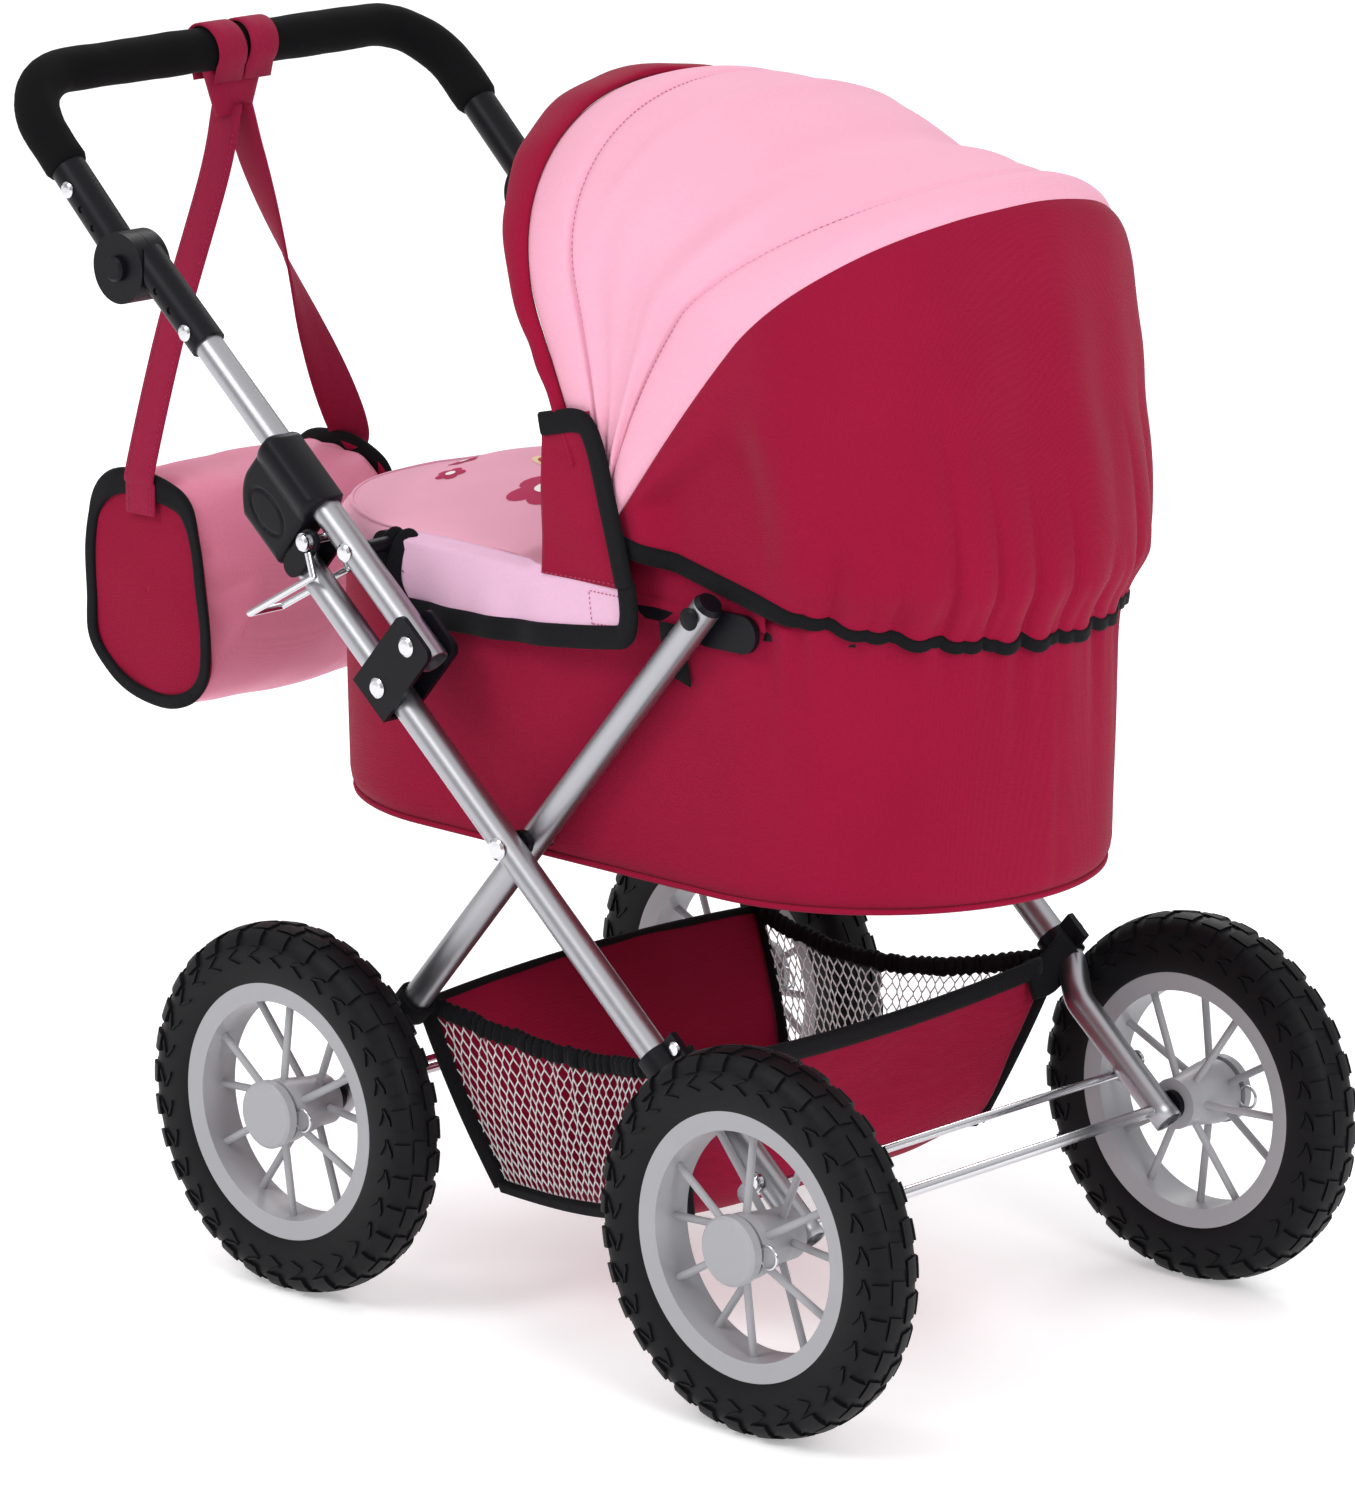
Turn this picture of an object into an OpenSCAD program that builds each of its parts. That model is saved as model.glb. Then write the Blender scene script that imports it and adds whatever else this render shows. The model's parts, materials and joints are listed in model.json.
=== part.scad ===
// Folding doll's pram with a soft cot, a hood, an under-basket and a changing bag.
// X runs from the handle to the hood end, Y to the pram's left and Z up.
// The origin is on the floor, under the middle of the whole object.

/* [Wheels] */
// Radius of a tyre
tyre_r = 102; // [95:1:106]
// Width of a tyre
tyre_w = 30; // [26:1:32]
// Radius of the rim's flanges
rim_r = 73; // [70:1:76]
// Spokes in each wheel
spoke_count = 12; // [8:2:14]
// Distance between the axles
wheelbase = 340; // [336:1:350]
// Distance between the middles of a left and a right wheel
track = 352; // [350:1:360]

/* [Chassis] */
// Diameter of the frame tubes
tube_d = 16; // [15:0.5:16]
// Slope of the main tubes, in degrees
tube_rise = 40.6; // [40:0.1:41]
// Distance from the middle plane to a main tube
main_y = 157; // [157:1:160]
// Distance from the middle plane to a cross tube
cross_y = 137; // [136:1:138]
// Distance of the handle post's axis above the main tube's
post_gap = 34; // [33:1:36]

/* [Handle] */
// Diameter of the foam grip
foam_d = 25; // [22:1:26]
// Diameter of the round hinges
hinge_d = 39; // [37:1:40]
// Distance from the hinge axis to the middle of the grip bar
bar_reach = 133; // [125:1:140]
// Bend radius of the grip's corners
bar_bend = 42; // [38:1:50]

/* [Cot] */
// Length of the tub
tub_l = 467; // [455:1:470]
// Width of the tub
tub_w = 250; // [240:1:250]
// Height of the tub's floor
tub_low = 257; // [255:1:265]
// Height of the tub's rim
tub_top = 406; // [404:1:408]
// Half width of the hood
hood_w = 136; // [135:1:138]

/* [Hidden] */
$fn = 48;

tube_r = tube_d / 2;
tube_wall = 1.2;
run = 0.05;             // radial clearance of a shaft in its hole
gap = 0.3;              // clearance between faces that slide past each other
axle_mid_x = 93;        // middle of the wheelbase
front_x = axle_mid_x + wheelbase / 2;
rear_x = axle_mid_x - wheelbase / 2;
axle_z = tyre_r;

// The tubes cross at a right angle, so the scissor pivot follows from the axles.
front_leg = wheelbase * cos(tube_rise);
rear_leg = wheelbase * sin(tube_rise);
pivot_x = front_x - front_leg * cos(tube_rise);
pivot_z = axle_z + front_leg * sin(tube_rise);

// Chassis frame: its origin is the scissor pivot, x runs down the main tube to the
// front axle and z runs up the cross tube to the cot's front pivot.
cot_arm = 183;          // scissor pivot to the cot's front pivot, along z
post_low = -112;        // the handle post's pivot, along x
cot_link = 65;          // post pivot to the cot's rear pivot, up the post
main_top = -215;        // upper end of the main tube
lock_x = [-255, -206];  // upper and lower end of the lock housing
bail_at = [-197.7, 20]; // pivot of the wire bail
hinge_at = [-392, 22];  // handle hinge axis
clamp_x = 148;          // basket clamp
clamp_w = 16;
plate_t = 3;            // fold bracket plate
plate_in = tube_r + gap;
leg_y = 142;            // the front leg's lower end, after its bend
axle_r = 3.2;
rod_r = 2.4;
rod_drop = 32;          // rod to axle, along the leg
rod_off = tube_r + rod_r + 0.2;
rivet_r = 2.5;
stud_r = 2.2;           // stem of the rivet at the cot's rear pivot
pivot_r = 3;
leg_end = 9;            // leg past its axle
hinge_turn = 3;         // the upper arm is this much steeper than the lower
arm_r = 10;
hinge_w = 21;

hub_in = -22;           // inner end of the hub, from the wheel's middle
hub_out = 14;
cap_out = 23.6;
hub_r = 17.5;
cap_r = 18.5;
barrel_r = 60.5;

tub_mid_x = axle_mid_x - 19;
tub_r = tub_w / 2;
rim_h = 8;
cloth = 3;              // thickness of a fabric wall
hood_x = axle_mid_x + 25;
hood_z = 440;
bow_r = 1.5;
bag_x = -313;
bag_y = 14;
bag_z = 332;
bag_l = 150;
bag_half_w = 52;
bag_half_h = 66;
bag_cut = 22;           // slanted lower corners
strap_w = 25;
strap_t = 2;
flap_t = 4;             // padded side flap of the cover
patch_t = 3;

function chassis(p) = [pivot_x + p[0] * cos(tube_rise) + p[1] * sin(tube_rise),
                       pivot_z - p[0] * sin(tube_rise) + p[1] * cos(tube_rise)];

// ---- placing ----

module on_side(side) {
    if (side > 0) children();
    else mirror([0, 1, 0]) children();
}

module both_sides() {
    for (side = [1, -1]) on_side(side) children();
}

module in_chassis(x = 0, z = 0) {
    translate([pivot_x, 0, pivot_z]) rotate([0, tube_rise, 0]) translate([x, 0, z]) children();
}

// a cylinder along Y, from y0 to y1
module across(r, y0, y1) {
    translate([0, y0, 0]) rotate([-90, 0, 0]) cylinder(r = r, h = y1 - y0);
}

// a cylinder along X, from x0 to x1
module along(r, x0, x1) {
    translate([x0, 0, 0]) rotate([0, 90, 0]) cylinder(r = r, h = x1 - x0);
}

// a solid revolved about Y from a profile of [radius, y]
module about_y(points) {
    rotate([-90, 0, 0]) rotate_extrude($fn = 96) polygon(points);
}

// a flat bar between two points of the XZ plane, from y0 to y1
module strap_plate(a, b, r, y0, y1) {
    d = b - a;
    translate([a[0], 0, a[1]]) across(r, y0, y1);
    translate([b[0], 0, b[1]]) across(r, y0, y1);
    translate([a[0], y0, a[1]]) rotate([0, -atan2(d[1], d[0]), 0])
        translate([0, 0, -r]) cube([norm(d), y1 - y0, 2 * r]);
}

// a rod from point to point, with round joints just fatter than the rod
module bent_rod(points, r) {
    last = len(points) - 1;
    for (i = [0 : last - 1]) {
        d = points[i + 1] - points[i];
        translate(points[i]) rotate([0, acos(d[2] / norm(d)), atan2(d[1], d[0])]) cylinder(r = r, h = norm(d));
    }
    for (i = [1 : last - 1]) translate(points[i]) sphere(r = r * 1.02);
}

// a rivet's domed head whose flat side faces -Y
module rivet_head(y, r = 5.5, h = 2) {
    about_y([[0, y], [r, y], [r, y + h * 0.35], [r * 0.75, y + h * 0.85], [r * 0.35, y + h], [0, y + h]]);
}

// ---- tubes ----

// straight from the lock to the clamp, then bent inwards and straight past the axle
module main_tube(side) {
    bend_x = clamp_x + clamp_w / 2 + 0.5;
    bend_end = bend_x + 24;
    low = front_leg + leg_end;
    overlap = 0.5;
    bend_r = tube_r + 0.4;
    color("silver") on_side(side) in_chassis() {
        difference() {
            translate([0, main_y, 0]) along(tube_r, main_top, bend_x + overlap);
            translate([0, main_y, 0]) along(tube_r - tube_wall, main_top - 1, bend_x - tube_r);
            across(pivot_r, main_y - 20, main_y + 20);
            translate([post_low, 0, 0]) across(rivet_r, main_y - 20, main_y + 20);
        }
        hull() {
            translate([0, main_y, 0]) along(bend_r, bend_x, bend_x + overlap);
            translate([0, leg_y, 0]) along(bend_r, bend_end - overlap, bend_end);
        }
        difference() {
            translate([0, leg_y, 0]) along(tube_r, bend_end - overlap, low);
            translate([0, leg_y, 0]) along(tube_r - tube_wall, bend_end + 9, low + 1);
            translate([front_leg, 0, 0]) across(axle_r, leg_y - 20, leg_y + 20);
        }
    }
}

module cross_tube(side) {
    color("silver") on_side(side) in_chassis() difference() {
        translate([0, cross_y, -rear_leg - leg_end]) difference() {
            cylinder(r = tube_r, h = rear_leg + leg_end + cot_arm + 8);
            translate([0, 0, -1]) cylinder(r = tube_r - tube_wall, h = rear_leg + leg_end + cot_arm + 10);
        }
        across(pivot_r + run, cross_y - 20, cross_y + 20);
        translate([0, 0, cot_arm]) across(pivot_r + run, cross_y - 20, cross_y + 20);
        translate([0, 0, -rear_leg]) across(axle_r, cross_y - 20, cross_y + 20);
        translate([0, 0, rod_drop - rear_leg]) across(rivet_r, cross_y, cross_y + 20);
    }
}

module cross_tube_plugs() {
    color("#26232d") both_sides() in_chassis(0, cot_arm) translate([0, cross_y, 0]) {
        translate([0, 0, 4.5]) cylinder(r = tube_r - tube_wall, h = 3.5);
        translate([0, 0, 8]) cylinder(r1 = tube_r, r2 = tube_r - 1.5, h = 3);
    }
}

// ---- axles and rods ----

module front_rods() {
    color("silver") in_chassis(front_leg) {
        half = track / 2 + hub_out + 4;
        across(axle_r, -half, half);
        translate([-rod_drop, 0, 0]) rod_with_eyes([0, -rod_off], leg_y);
    }
}

module rear_rods() {
    color("silver") in_chassis(0, -rear_leg) {
        half = track / 2 + hub_out + 4;
        across(axle_r, -half, half);
        translate([0, 0, rod_drop]) rod_with_eyes([rod_off, 0], cross_y);
    }
}

// a thin rod whose flat eyes are riveted to the outer face of the two legs
module rod_with_eyes(at, y) {
    eye_y = y + tube_r + 0.2;
    translate([at[0], 0, at[1]]) across(rod_r, -eye_y - 1, eye_y + 1);
    both_sides() difference() {
        strap_plate([0, 0], at, 5, eye_y, eye_y + 2);
        across(rivet_r, eye_y - 1, eye_y + 3);
    }
}

module bushes(y) {
    end = track / 2 + hub_in - gap;
    both_sides() about_y([[axle_r + run, y], [8, y], [8, end], [axle_r + run, end]]);
}

module front_bushes() {
    color("#26232d") in_chassis(front_leg) bushes(leg_y + tube_r);
}

module rear_bushes() {
    color("#26232d") in_chassis(0, -rear_leg) bushes(cross_y + tube_r);
}

// ---- brackets, lugs and rivets on the frame ----

// two plates and a web behind the main tube that carry the handle post's pivot
module fold_brackets() {
    color("#26232d") both_sides() in_chassis(post_low) difference() {
        for (y = [main_y - plate_in - plate_t, main_y + plate_in])
            translate([0, y, 0]) bracket_plate();
        across(rivet_r, main_y - 20, main_y + 20);
        translate([0, 0, post_gap]) across(pivot_r, main_y - 20, main_y + 20);
    }
    color("#26232d") both_sides() in_chassis(post_low)
        translate([-15, main_y - plate_in, -tube_r - plate_t]) cube([30, 2 * plate_in, plate_t]);
}

module bracket_plate() {
    low = -tube_r - plate_t;
    high = post_gap + 10;
    rotate([-90, 0, 0]) linear_extrude(plate_t) mirror([0, 1])
        union() {
            translate([-15, low]) square([30, high - low - 5]);
            translate([-10, high - 5]) square([20, 5]);
            for (x = [-10, 10]) translate([x, high - 5]) circle(r = 5);
        }
}

// plates at the main tube's top that carry the wire bail
module catch_lugs() {
    color("#26232d") both_sides() in_chassis() difference() {
        for (y = [main_y - tube_r - 2.5, main_y + tube_r])
            strap_plate([bail_at[0], 0], bail_at, 6.5, y, y + 2.5);
        translate([bail_at[0], 0, bail_at[1]]) across(rivet_r, main_y - 20, main_y + 20);
    }
}

module basket_clamps() {
    color("#26232d") both_sides() in_chassis(clamp_x) difference() {
        translate([0, main_y, 0]) {
            along(tube_r + 2.4, -clamp_w / 2, clamp_w / 2);
            translate([-clamp_w / 2, -2, 0]) cube([clamp_w, 4, tube_r + 11]);
        }
        translate([0, main_y, 0]) along(tube_r, -clamp_w, clamp_w);
    }
}

module frame_rivets() {
    color("gainsboro") both_sides() {
        in_chassis() {
            across(pivot_r, cross_y - tube_r - 0.4, main_y + tube_r);
            rivet_head(main_y + tube_r, 6);
            about_y([[0, cross_y - tube_r - 2.4], [5.5, cross_y - tube_r - 2.4],
                     [5.5, cross_y - tube_r - 0.4], [0, cross_y - tube_r - 0.4]]);
        }
        in_chassis(post_low) plate_rivet(rivet_r);
        in_chassis(post_low, post_gap) plate_rivet(pivot_r);
        in_chassis(bail_at[0], bail_at[1]) {
            across(rivet_r, main_y - tube_r - 8, main_y + tube_r + 8);
            rivet_head(main_y + tube_r + 7.2, 4.5, 1.6);
        }
        in_chassis(front_leg - rod_drop) rivet_head(leg_y + tube_r + 2.2, 4.5, 1.6);
        in_chassis(clamp_x, tube_r + 7) rivet_head(main_y + 2, 4, 1.6);
    }
}

module plate_rivet(r) {
    across(r, main_y - plate_in - plate_t - 0.4, main_y + plate_in + plate_t);
    rivet_head(main_y + plate_in + plate_t, 5.5);
}

module cross_rivets() {
    color("gainsboro") both_sides() {
        in_chassis(0, rod_drop - rear_leg) rivet_head(cross_y + tube_r + 2.2, 4.5, 1.6);
        about_spacer = main_y - tube_r - gap;
        in_chassis() about_y([[pivot_r + run, cross_y + tube_r], [7, cross_y + tube_r],
                              [7, about_spacer], [pivot_r + run, about_spacer]]);
    }
}

// ---- wheels ----

module wheel_at(x, side) {
    translate([x, 0, axle_z]) on_side(side) translate([0, track / 2, 0]) children();
}

module tyre(x, side) {
    w = tyre_w / 2;
    color("#1c1c20") wheel_at(x, side) about_y([
        [rim_r - 6, -9], [rim_r, -11.5], [rim_r + 3, -w], [rim_r + 12, -w - 0.5], [tyre_r - 8, -w],
        [tyre_r - 2.5, -w + 4.5], [tyre_r, -w + 9.5], [tyre_r, w - 9.5], [tyre_r - 2.5, w - 4.5],
        [tyre_r - 8, w], [rim_r + 12, w + 0.5], [rim_r + 3, w], [rim_r, 11.5], [rim_r - 6, 9]]);
}

module rim(x, side) {
    color("#a5a5a8") wheel_at(x, side) difference() {
        union() {
            about_y([[barrel_r, -12], [rim_r - 3, -13.3], [rim_r, -13.3], [rim_r, -11.5], [rim_r - 6, -9],
                     [rim_r - 6, 9], [rim_r, 11.5], [rim_r, 13.3], [rim_r - 3, 13.3], [barrel_r, 12]]);
            about_y([[0, hub_in], [14, hub_in], [14, hub_in + 8], [hub_r, hub_out - 6],
                     [hub_r, hub_out], [0, hub_out]]);
            for (i = [0 : spoke_count - 1]) rotate([0, i * 360 / spoke_count, 0])
                spoke(i % 2 == 0 ? hub_out - 5 : hub_in + 10);
        }
        across(axle_r + run, hub_in - 1, hub_out + 1);
    }
}

// a spoke from the hub at height y to the middle of the rim
module spoke(y) {
    reach = barrel_r + 2 - 10;
    lean = atan2(y * 0.75, reach);
    translate([0, y, 10]) rotate([lean, 0, 0]) cylinder(r = 2.1, h = reach / cos(lean), $fn = 24);
}

module hub_cap(x, side) {
    color("#a5a5a8") wheel_at(x, side) about_y([
        [13, hub_out], [14.2, hub_out], [14.2, hub_out + 2], [cap_r, hub_out + 2.6], [cap_r, cap_out - 2],
        [cap_r - 1.4, cap_out - 0.6], [cap_r - 5, cap_out], [0, cap_out], [0, cap_out - 3], [13, cap_out - 3]]);
}

// a wire ring round the cap's neck with a small finger loop beside it
module clip(x, side) {
    wire = 0.8;
    ring = 14.2 + wire + 0.1;
    color("gainsboro") wheel_at(x, side) translate([0, hub_out + wire + 0.1, 0]) rotate([-90, 0, 0]) {
        rotate_extrude($fn = 96) translate([ring, 0]) circle(r = wire, $fn = 16);
        translate([ring + 6, 0, 0]) rotate_extrude($fn = 48) translate([6, 0]) circle(r = wire, $fn = 16);
    }
}

// ---- handle posts and locks ----

module handle_post(side) {
    top = hinge_at[0] + 32;
    color("silver") on_side(side) in_chassis(0, post_gap) difference() {
        translate([0, main_y, 0]) along(tube_r, top, post_low + 13);
        translate([0, main_y, 0]) along(tube_r - tube_wall, top - 1, post_low + 14);
        translate([post_low, 0, 0]) across(pivot_r + run, main_y - 20, main_y + 20);
        translate([post_low - cot_link, 0, 0]) across(stud_r, main_y, main_y + 20);
    }
}

module post_rivets() {
    color("gainsboro") both_sides() {
        in_chassis(post_low - cot_link, post_gap) {
            across(stud_r, main_y + tube_r - 1.15, main_y + tube_r + 0.2);
            rivet_head(main_y + tube_r + 0.1, 5);
        }
        in_chassis(hinge_at[0] + 58, post_gap) rivet_head(main_y + arm_r, 4.5, 1.6);
    }
}

// the fixed half of a handle hinge: an arm over the post and the inner disc
module hinge_lower(side) {
    split = main_y - gap / 2;
    color("#26232d") on_side(side) in_chassis() difference() {
        union() {
            difference() {
                translate([0, main_y, post_gap]) along(arm_r, hinge_at[0] + 4, hinge_at[0] + 68);
                translate([hinge_at[0], 0, hinge_at[1]]) across(hinge_d / 2 + 0.7, split, main_y + 20);
            }
            translate([hinge_at[0], 0, hinge_at[1]]) {
                across(hinge_d / 2, main_y - hinge_w / 2, split);
                across(pivot_r, split - 1, main_y + 2.5);
            }
        }
        translate([0, main_y, post_gap]) along(tube_r, hinge_at[0] + 32, hinge_at[0] + 69);
        for (dx = [28, 42]) translate([hinge_at[0] + dx, 0, post_gap])
            across(2, main_y + arm_r - 1, main_y + arm_r + 1);
    }
}

// the black housing that slides on the post and locks over the main tube's end
module lock_housing(side) {
    low = -9;
    high = post_gap + 9;
    half = 13.5;
    color("#26232d") on_side(side) in_chassis() difference() {
        translate([0, main_y + half, 0]) rotate([90, 0, 0]) linear_extrude(2 * half)
            rounded([lock_x[0], low], [lock_x[1], high], 6);
        translate([0, main_y, post_gap]) along(tube_r + run, lock_x[0] - 1, lock_x[1] + 1);
        translate([0, main_y, 0]) along(tube_r + gap, main_top - 2, lock_x[1] + 1);
        translate([main_top - 2, main_y - tube_r - gap, low - 1])
            cube([lock_x[1] - main_top + 3, 2 * (tube_r + gap), -low + 1]);
        translate([(lock_x[0] + lock_x[1]) / 2 - 2, main_y + half - 1, (low + high) / 2])
            rotate([-90, 0, 0]) linear_extrude(2) {
                translate([0, -8]) circle(r = 8);
                translate([0, 8]) circle(r = 8);
                translate([-8, -8]) square([16, 16]);
            }
    }
}

module rounded(a, b, r) {
    translate([a[0] + r, a[1]]) square([b[0] - a[0] - 2 * r, b[1] - a[1]]);
    translate([a[0], a[1] + r]) square([b[0] - a[0], b[1] - a[1] - 2 * r]);
    for (x = [a[0] + r, b[0] - r], y = [a[1] + r, b[1] - r]) translate([x, y]) circle(r = r);
}

// the wire bail hooks round behind the main tube
module wire_bail(side) {
    wire = 1.9;
    out = main_y + tube_r + 2.5 + wire + gap;
    in = main_y - tube_r - 2.5 - wire - gap;
    pivot = bail_at;
    knee = bail_at + [16, -10];
    loop = bail_at + [-4, -64];
    color("gainsboro") on_side(side) in_chassis() {
        difference() {
            union() {
                bent_rod([[pivot[0] + 5, out, pivot[1] - 3], [knee[0], out, knee[1]], [loop[0], out - 1, loop[1]],
                          [loop[0], in + 1, loop[1]], [knee[0], in, knee[1]], [pivot[0] + 5, in, pivot[1] - 3]], wire);
                for (y = [out, in]) translate([pivot[0], 0, pivot[1]]) across(5, y - wire, y + wire);
            }
            translate([pivot[0], 0, pivot[1]]) across(rivet_r + run, in - 5, out + 5);
        }
    }
}

// ---- swinging handle ----

module at_hinge() {
    in_chassis(hinge_at[0], hinge_at[1]) rotate([0, hinge_turn, 0]) children();
}

module hinge_upper(side) {
    split = main_y + gap / 2;
    color("#26232d") on_side(side) at_hinge() difference() {
        union() {
            difference() {
                translate([0, main_y, 0]) along(arm_r, -69, -5);
                across(hinge_d / 2 + 0.7, main_y - 20, split);
            }
            across(hinge_d / 2, split, main_y + hinge_w / 2);
        }
        across(pivot_r + run, split - 1, main_y + 3);
        across(7 + run, main_y + 4, main_y + 20);
        translate([0, main_y, 0]) along(tube_r, -70, -28);
        for (dx = [-28, -41]) translate([dx, 0, 0]) across(2, main_y + arm_r - 1, main_y + arm_r + 1);
    }
}

module hinge_button(side) {
    y = main_y + hinge_w / 2;
    color("#26232d") on_side(side) at_hinge()
        about_y([[0, y - 2.5], [7, y - 2.5], [7, y + 3], [5.5, y + 4.5], [0, y + 4.5]]);
}

module grip_path(r, start) {
    both_sides() {
        translate([0, main_y, 0]) along(r, -bar_reach + bar_bend, start);
        translate([-bar_reach + bar_bend, main_y - bar_bend, 0]) rotate([0, 0, 90])
            rotate_extrude(angle = 90, $fn = 96) translate([bar_bend, 0]) circle(r = r);
    }
    translate([-bar_reach, 0, 0]) across(r, -main_y + bar_bend, main_y - bar_bend);
}

module handle_tube() {
    color("silver") at_hinge() grip_path(tube_r, -30);
}

module foam_grip() {
    color("#17171a") at_hinge() difference() {
        grip_path(foam_d / 2, -69.2);
        grip_path(tube_r, -60);
    }
}

module handle_rivets() {
    color("gainsboro") both_sides() at_hinge() translate([-55, 0, 0]) rivet_head(main_y + arm_r, 4.5, 1.6);
}

// ---- bag ----

module bag_body() {
    w = bag_half_w;
    h = bag_half_h;
    cut = bag_cut;
    color("#e0829b") translate([bag_x, bag_y + bag_l / 2, bag_z]) rotate([90, 0, 0]) linear_extrude(bag_l)
        polygon([[-w, h - 10], [-w + 12, h], [w - 12, h], [w, h - 10], [w, -h + cut + 12],
                 [w - cut, -h], [-w + cut, -h], [-w, -h + cut + 12]]);
}

module bag_strap() {
    bar = chassis([hinge_at[0], hinge_at[1]])
        + bar_reach * [-cos(tube_rise + hinge_turn), sin(tube_rise + hinge_turn)];
    ring = foam_d / 2 + gap;
    ends = [bag_y - bag_l / 2 - strap_t - 0.2, bag_y + bag_l / 2 + 0.2];
    over_bag = bag_z + bag_half_h + 4;
    stitched = 28;      // lower length sewn to the end panel
    spread = 12;        // half the distance between the legs' tops
    color("#96163a") {
        translate([bar[0], 8, bar[1]]) difference() {
            across(ring + strap_t, -22, 22);
            across(ring, -23, 23);
        }
        translate([bar[0] - strap_w / 2, 0, 0]) for (y = ends) {
            hull() {
                translate([0, y, over_bag]) cube([strap_w, strap_t, 1]);
                translate([0, 8 + sign(y) * spread - strap_t / 2, bar[1] - ring - strap_t - 0.5])
                    cube([strap_w, strap_t, 2]);
            }
            translate([0, y, over_bag - 4 - stitched]) cube([strap_w, strap_t, stitched + 4.5]);
        }
    }
}

// ---- cot ----

module stadium(r, l) {
    for (x = [-l / 2 + r, l / 2 - r]) translate([x, 0]) circle(r = r, $fn = 96);
    translate([-l / 2 + r, -r]) square([l - 2 * r, 2 * r]);
}

module tub_slab(z0, z1, inset) {
    translate([tub_mid_x, 0, z0]) linear_extrude(z1 - z0) stadium(tub_r - inset, tub_l - 2 * inset);
}

module cot_rim() {
    color("#26232d") difference() {
        tub_slab(tub_top - rim_h, tub_top, 0);
        tub_slab(tub_top - rim_h - 1, tub_top + 1, 5);
    }
}

module cot_tub() {
    color("#96163a") difference() {
        union() {
            tub_slab(tub_low + 8, tub_top - rim_h, 0);
            tub_slab(tub_low + 3, tub_low + 8, 2.5);
            tub_slab(tub_low, tub_low + 3, 7);
        }
        tub_slab(tub_low + cloth, tub_top, 8);
        tub_slab(tub_low + 10, tub_top, cloth);
    }
}

module base_board() {
    color("#96163a") tub_slab(tub_low + cloth + 0.2, tub_low + cloth + 3.2, 9);
}

module mattress() {
    color("#f7bad1") tub_slab(tub_low + cloth + 3.4, tub_low + cloth + 28, 12);
}

// the padded cover over the rear half, with a side flap and a patch on each side
module cover() {
    seam = tub_top + 16;        // where the puffy top is sewn to its border
    front = hood_x - 80;
    flap_x = [-20, hood_x - 10];
    patch_x = [hood_x - 42, hood_x + 12];
    color("#f7bad1") {
        intersection() {
            union() {
                tub_slab(tub_top + 0.3, seam, 0);
                tub_slab(seam, tub_top + 30, 14);
            }
            translate([front - 400, -200, 0]) cube([400, 400, 600]);
        }
        both_sides() {
            translate([flap_x[0], tub_r + 0.5, tub_top - 28]) cube([flap_x[1] - flap_x[0], flap_t, 36]);
            translate([patch_x[0], hood_w + 1.5, tub_top - 12]) cube([patch_x[1] - patch_x[0], patch_t, 106]);
            translate([patch_x[0], tub_r + 0.5, tub_top - 12]) cube([30, hood_w - tub_r + 1.5, 4]);
        }
    }
}

module mount_plates() {
    y = tub_r;
    front_at = chassis([0, cot_arm]);
    rear_at = chassis([post_low - cot_link, post_gap]);
    color("#26232d") both_sides() {
        translate([front_at[0] + 8, 0, front_at[1] - 8]) strap_plate([-12, 0], [12, 0], 10, y, y + 3.4);
        translate([front_at[0], 0, front_at[1]]) {
            across(pivot_r, y + 3, cross_y + tube_r + 0.4);
            rivet_head(cross_y + tube_r + 0.4, 6);
        }
        translate([rear_at[0], 0, rear_at[1] - 4]) strap_plate([-8, 0], [8, 0], 9, y, y + 3.4);
        translate([rear_at[0], 0, rear_at[1]]) across(4, y + 3, main_y - tube_r - 0.6);
    }
}

// ---- hood ----

// Height of the hood's crown above the hood axis, by the angle of the plane it lies in.
function crown(a) = lookup(a, [[-14, 208], [0, 208], [22, 213], [36, 226], [47, 243],
                               [60, 219], [73, 207], [90, 214], [103, 224], [120, 240]]);
// Length of the straight side below the arch in that plane.
function straight(a) = lookup(a, [[-14, 70], [0, 76], [47, 146], [75, 130], [103, 128], [120, 100]]);

// A point of the hood: a = plane angle, t = 0..1 from the left side over the top.
function hood_point(a, t, inset, start) =
    let (s = straight(a), c = crown(a) - inset, w = hood_w - inset,
         leg = 0.2,
         r = t < leg ? start + (s - start) * t / leg
           : t > 1 - leg ? start + (s - start) * (1 - t) / leg
           : s + (c - s) * sin(180 * (t - leg) / (1 - 2 * leg)),
         y = t < leg ? w : t > 1 - leg ? -w : w * cos(180 * (t - leg) / (1 - 2 * leg)))
    [hood_x + r * cos(a), y, hood_z + r * sin(a)];

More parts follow.
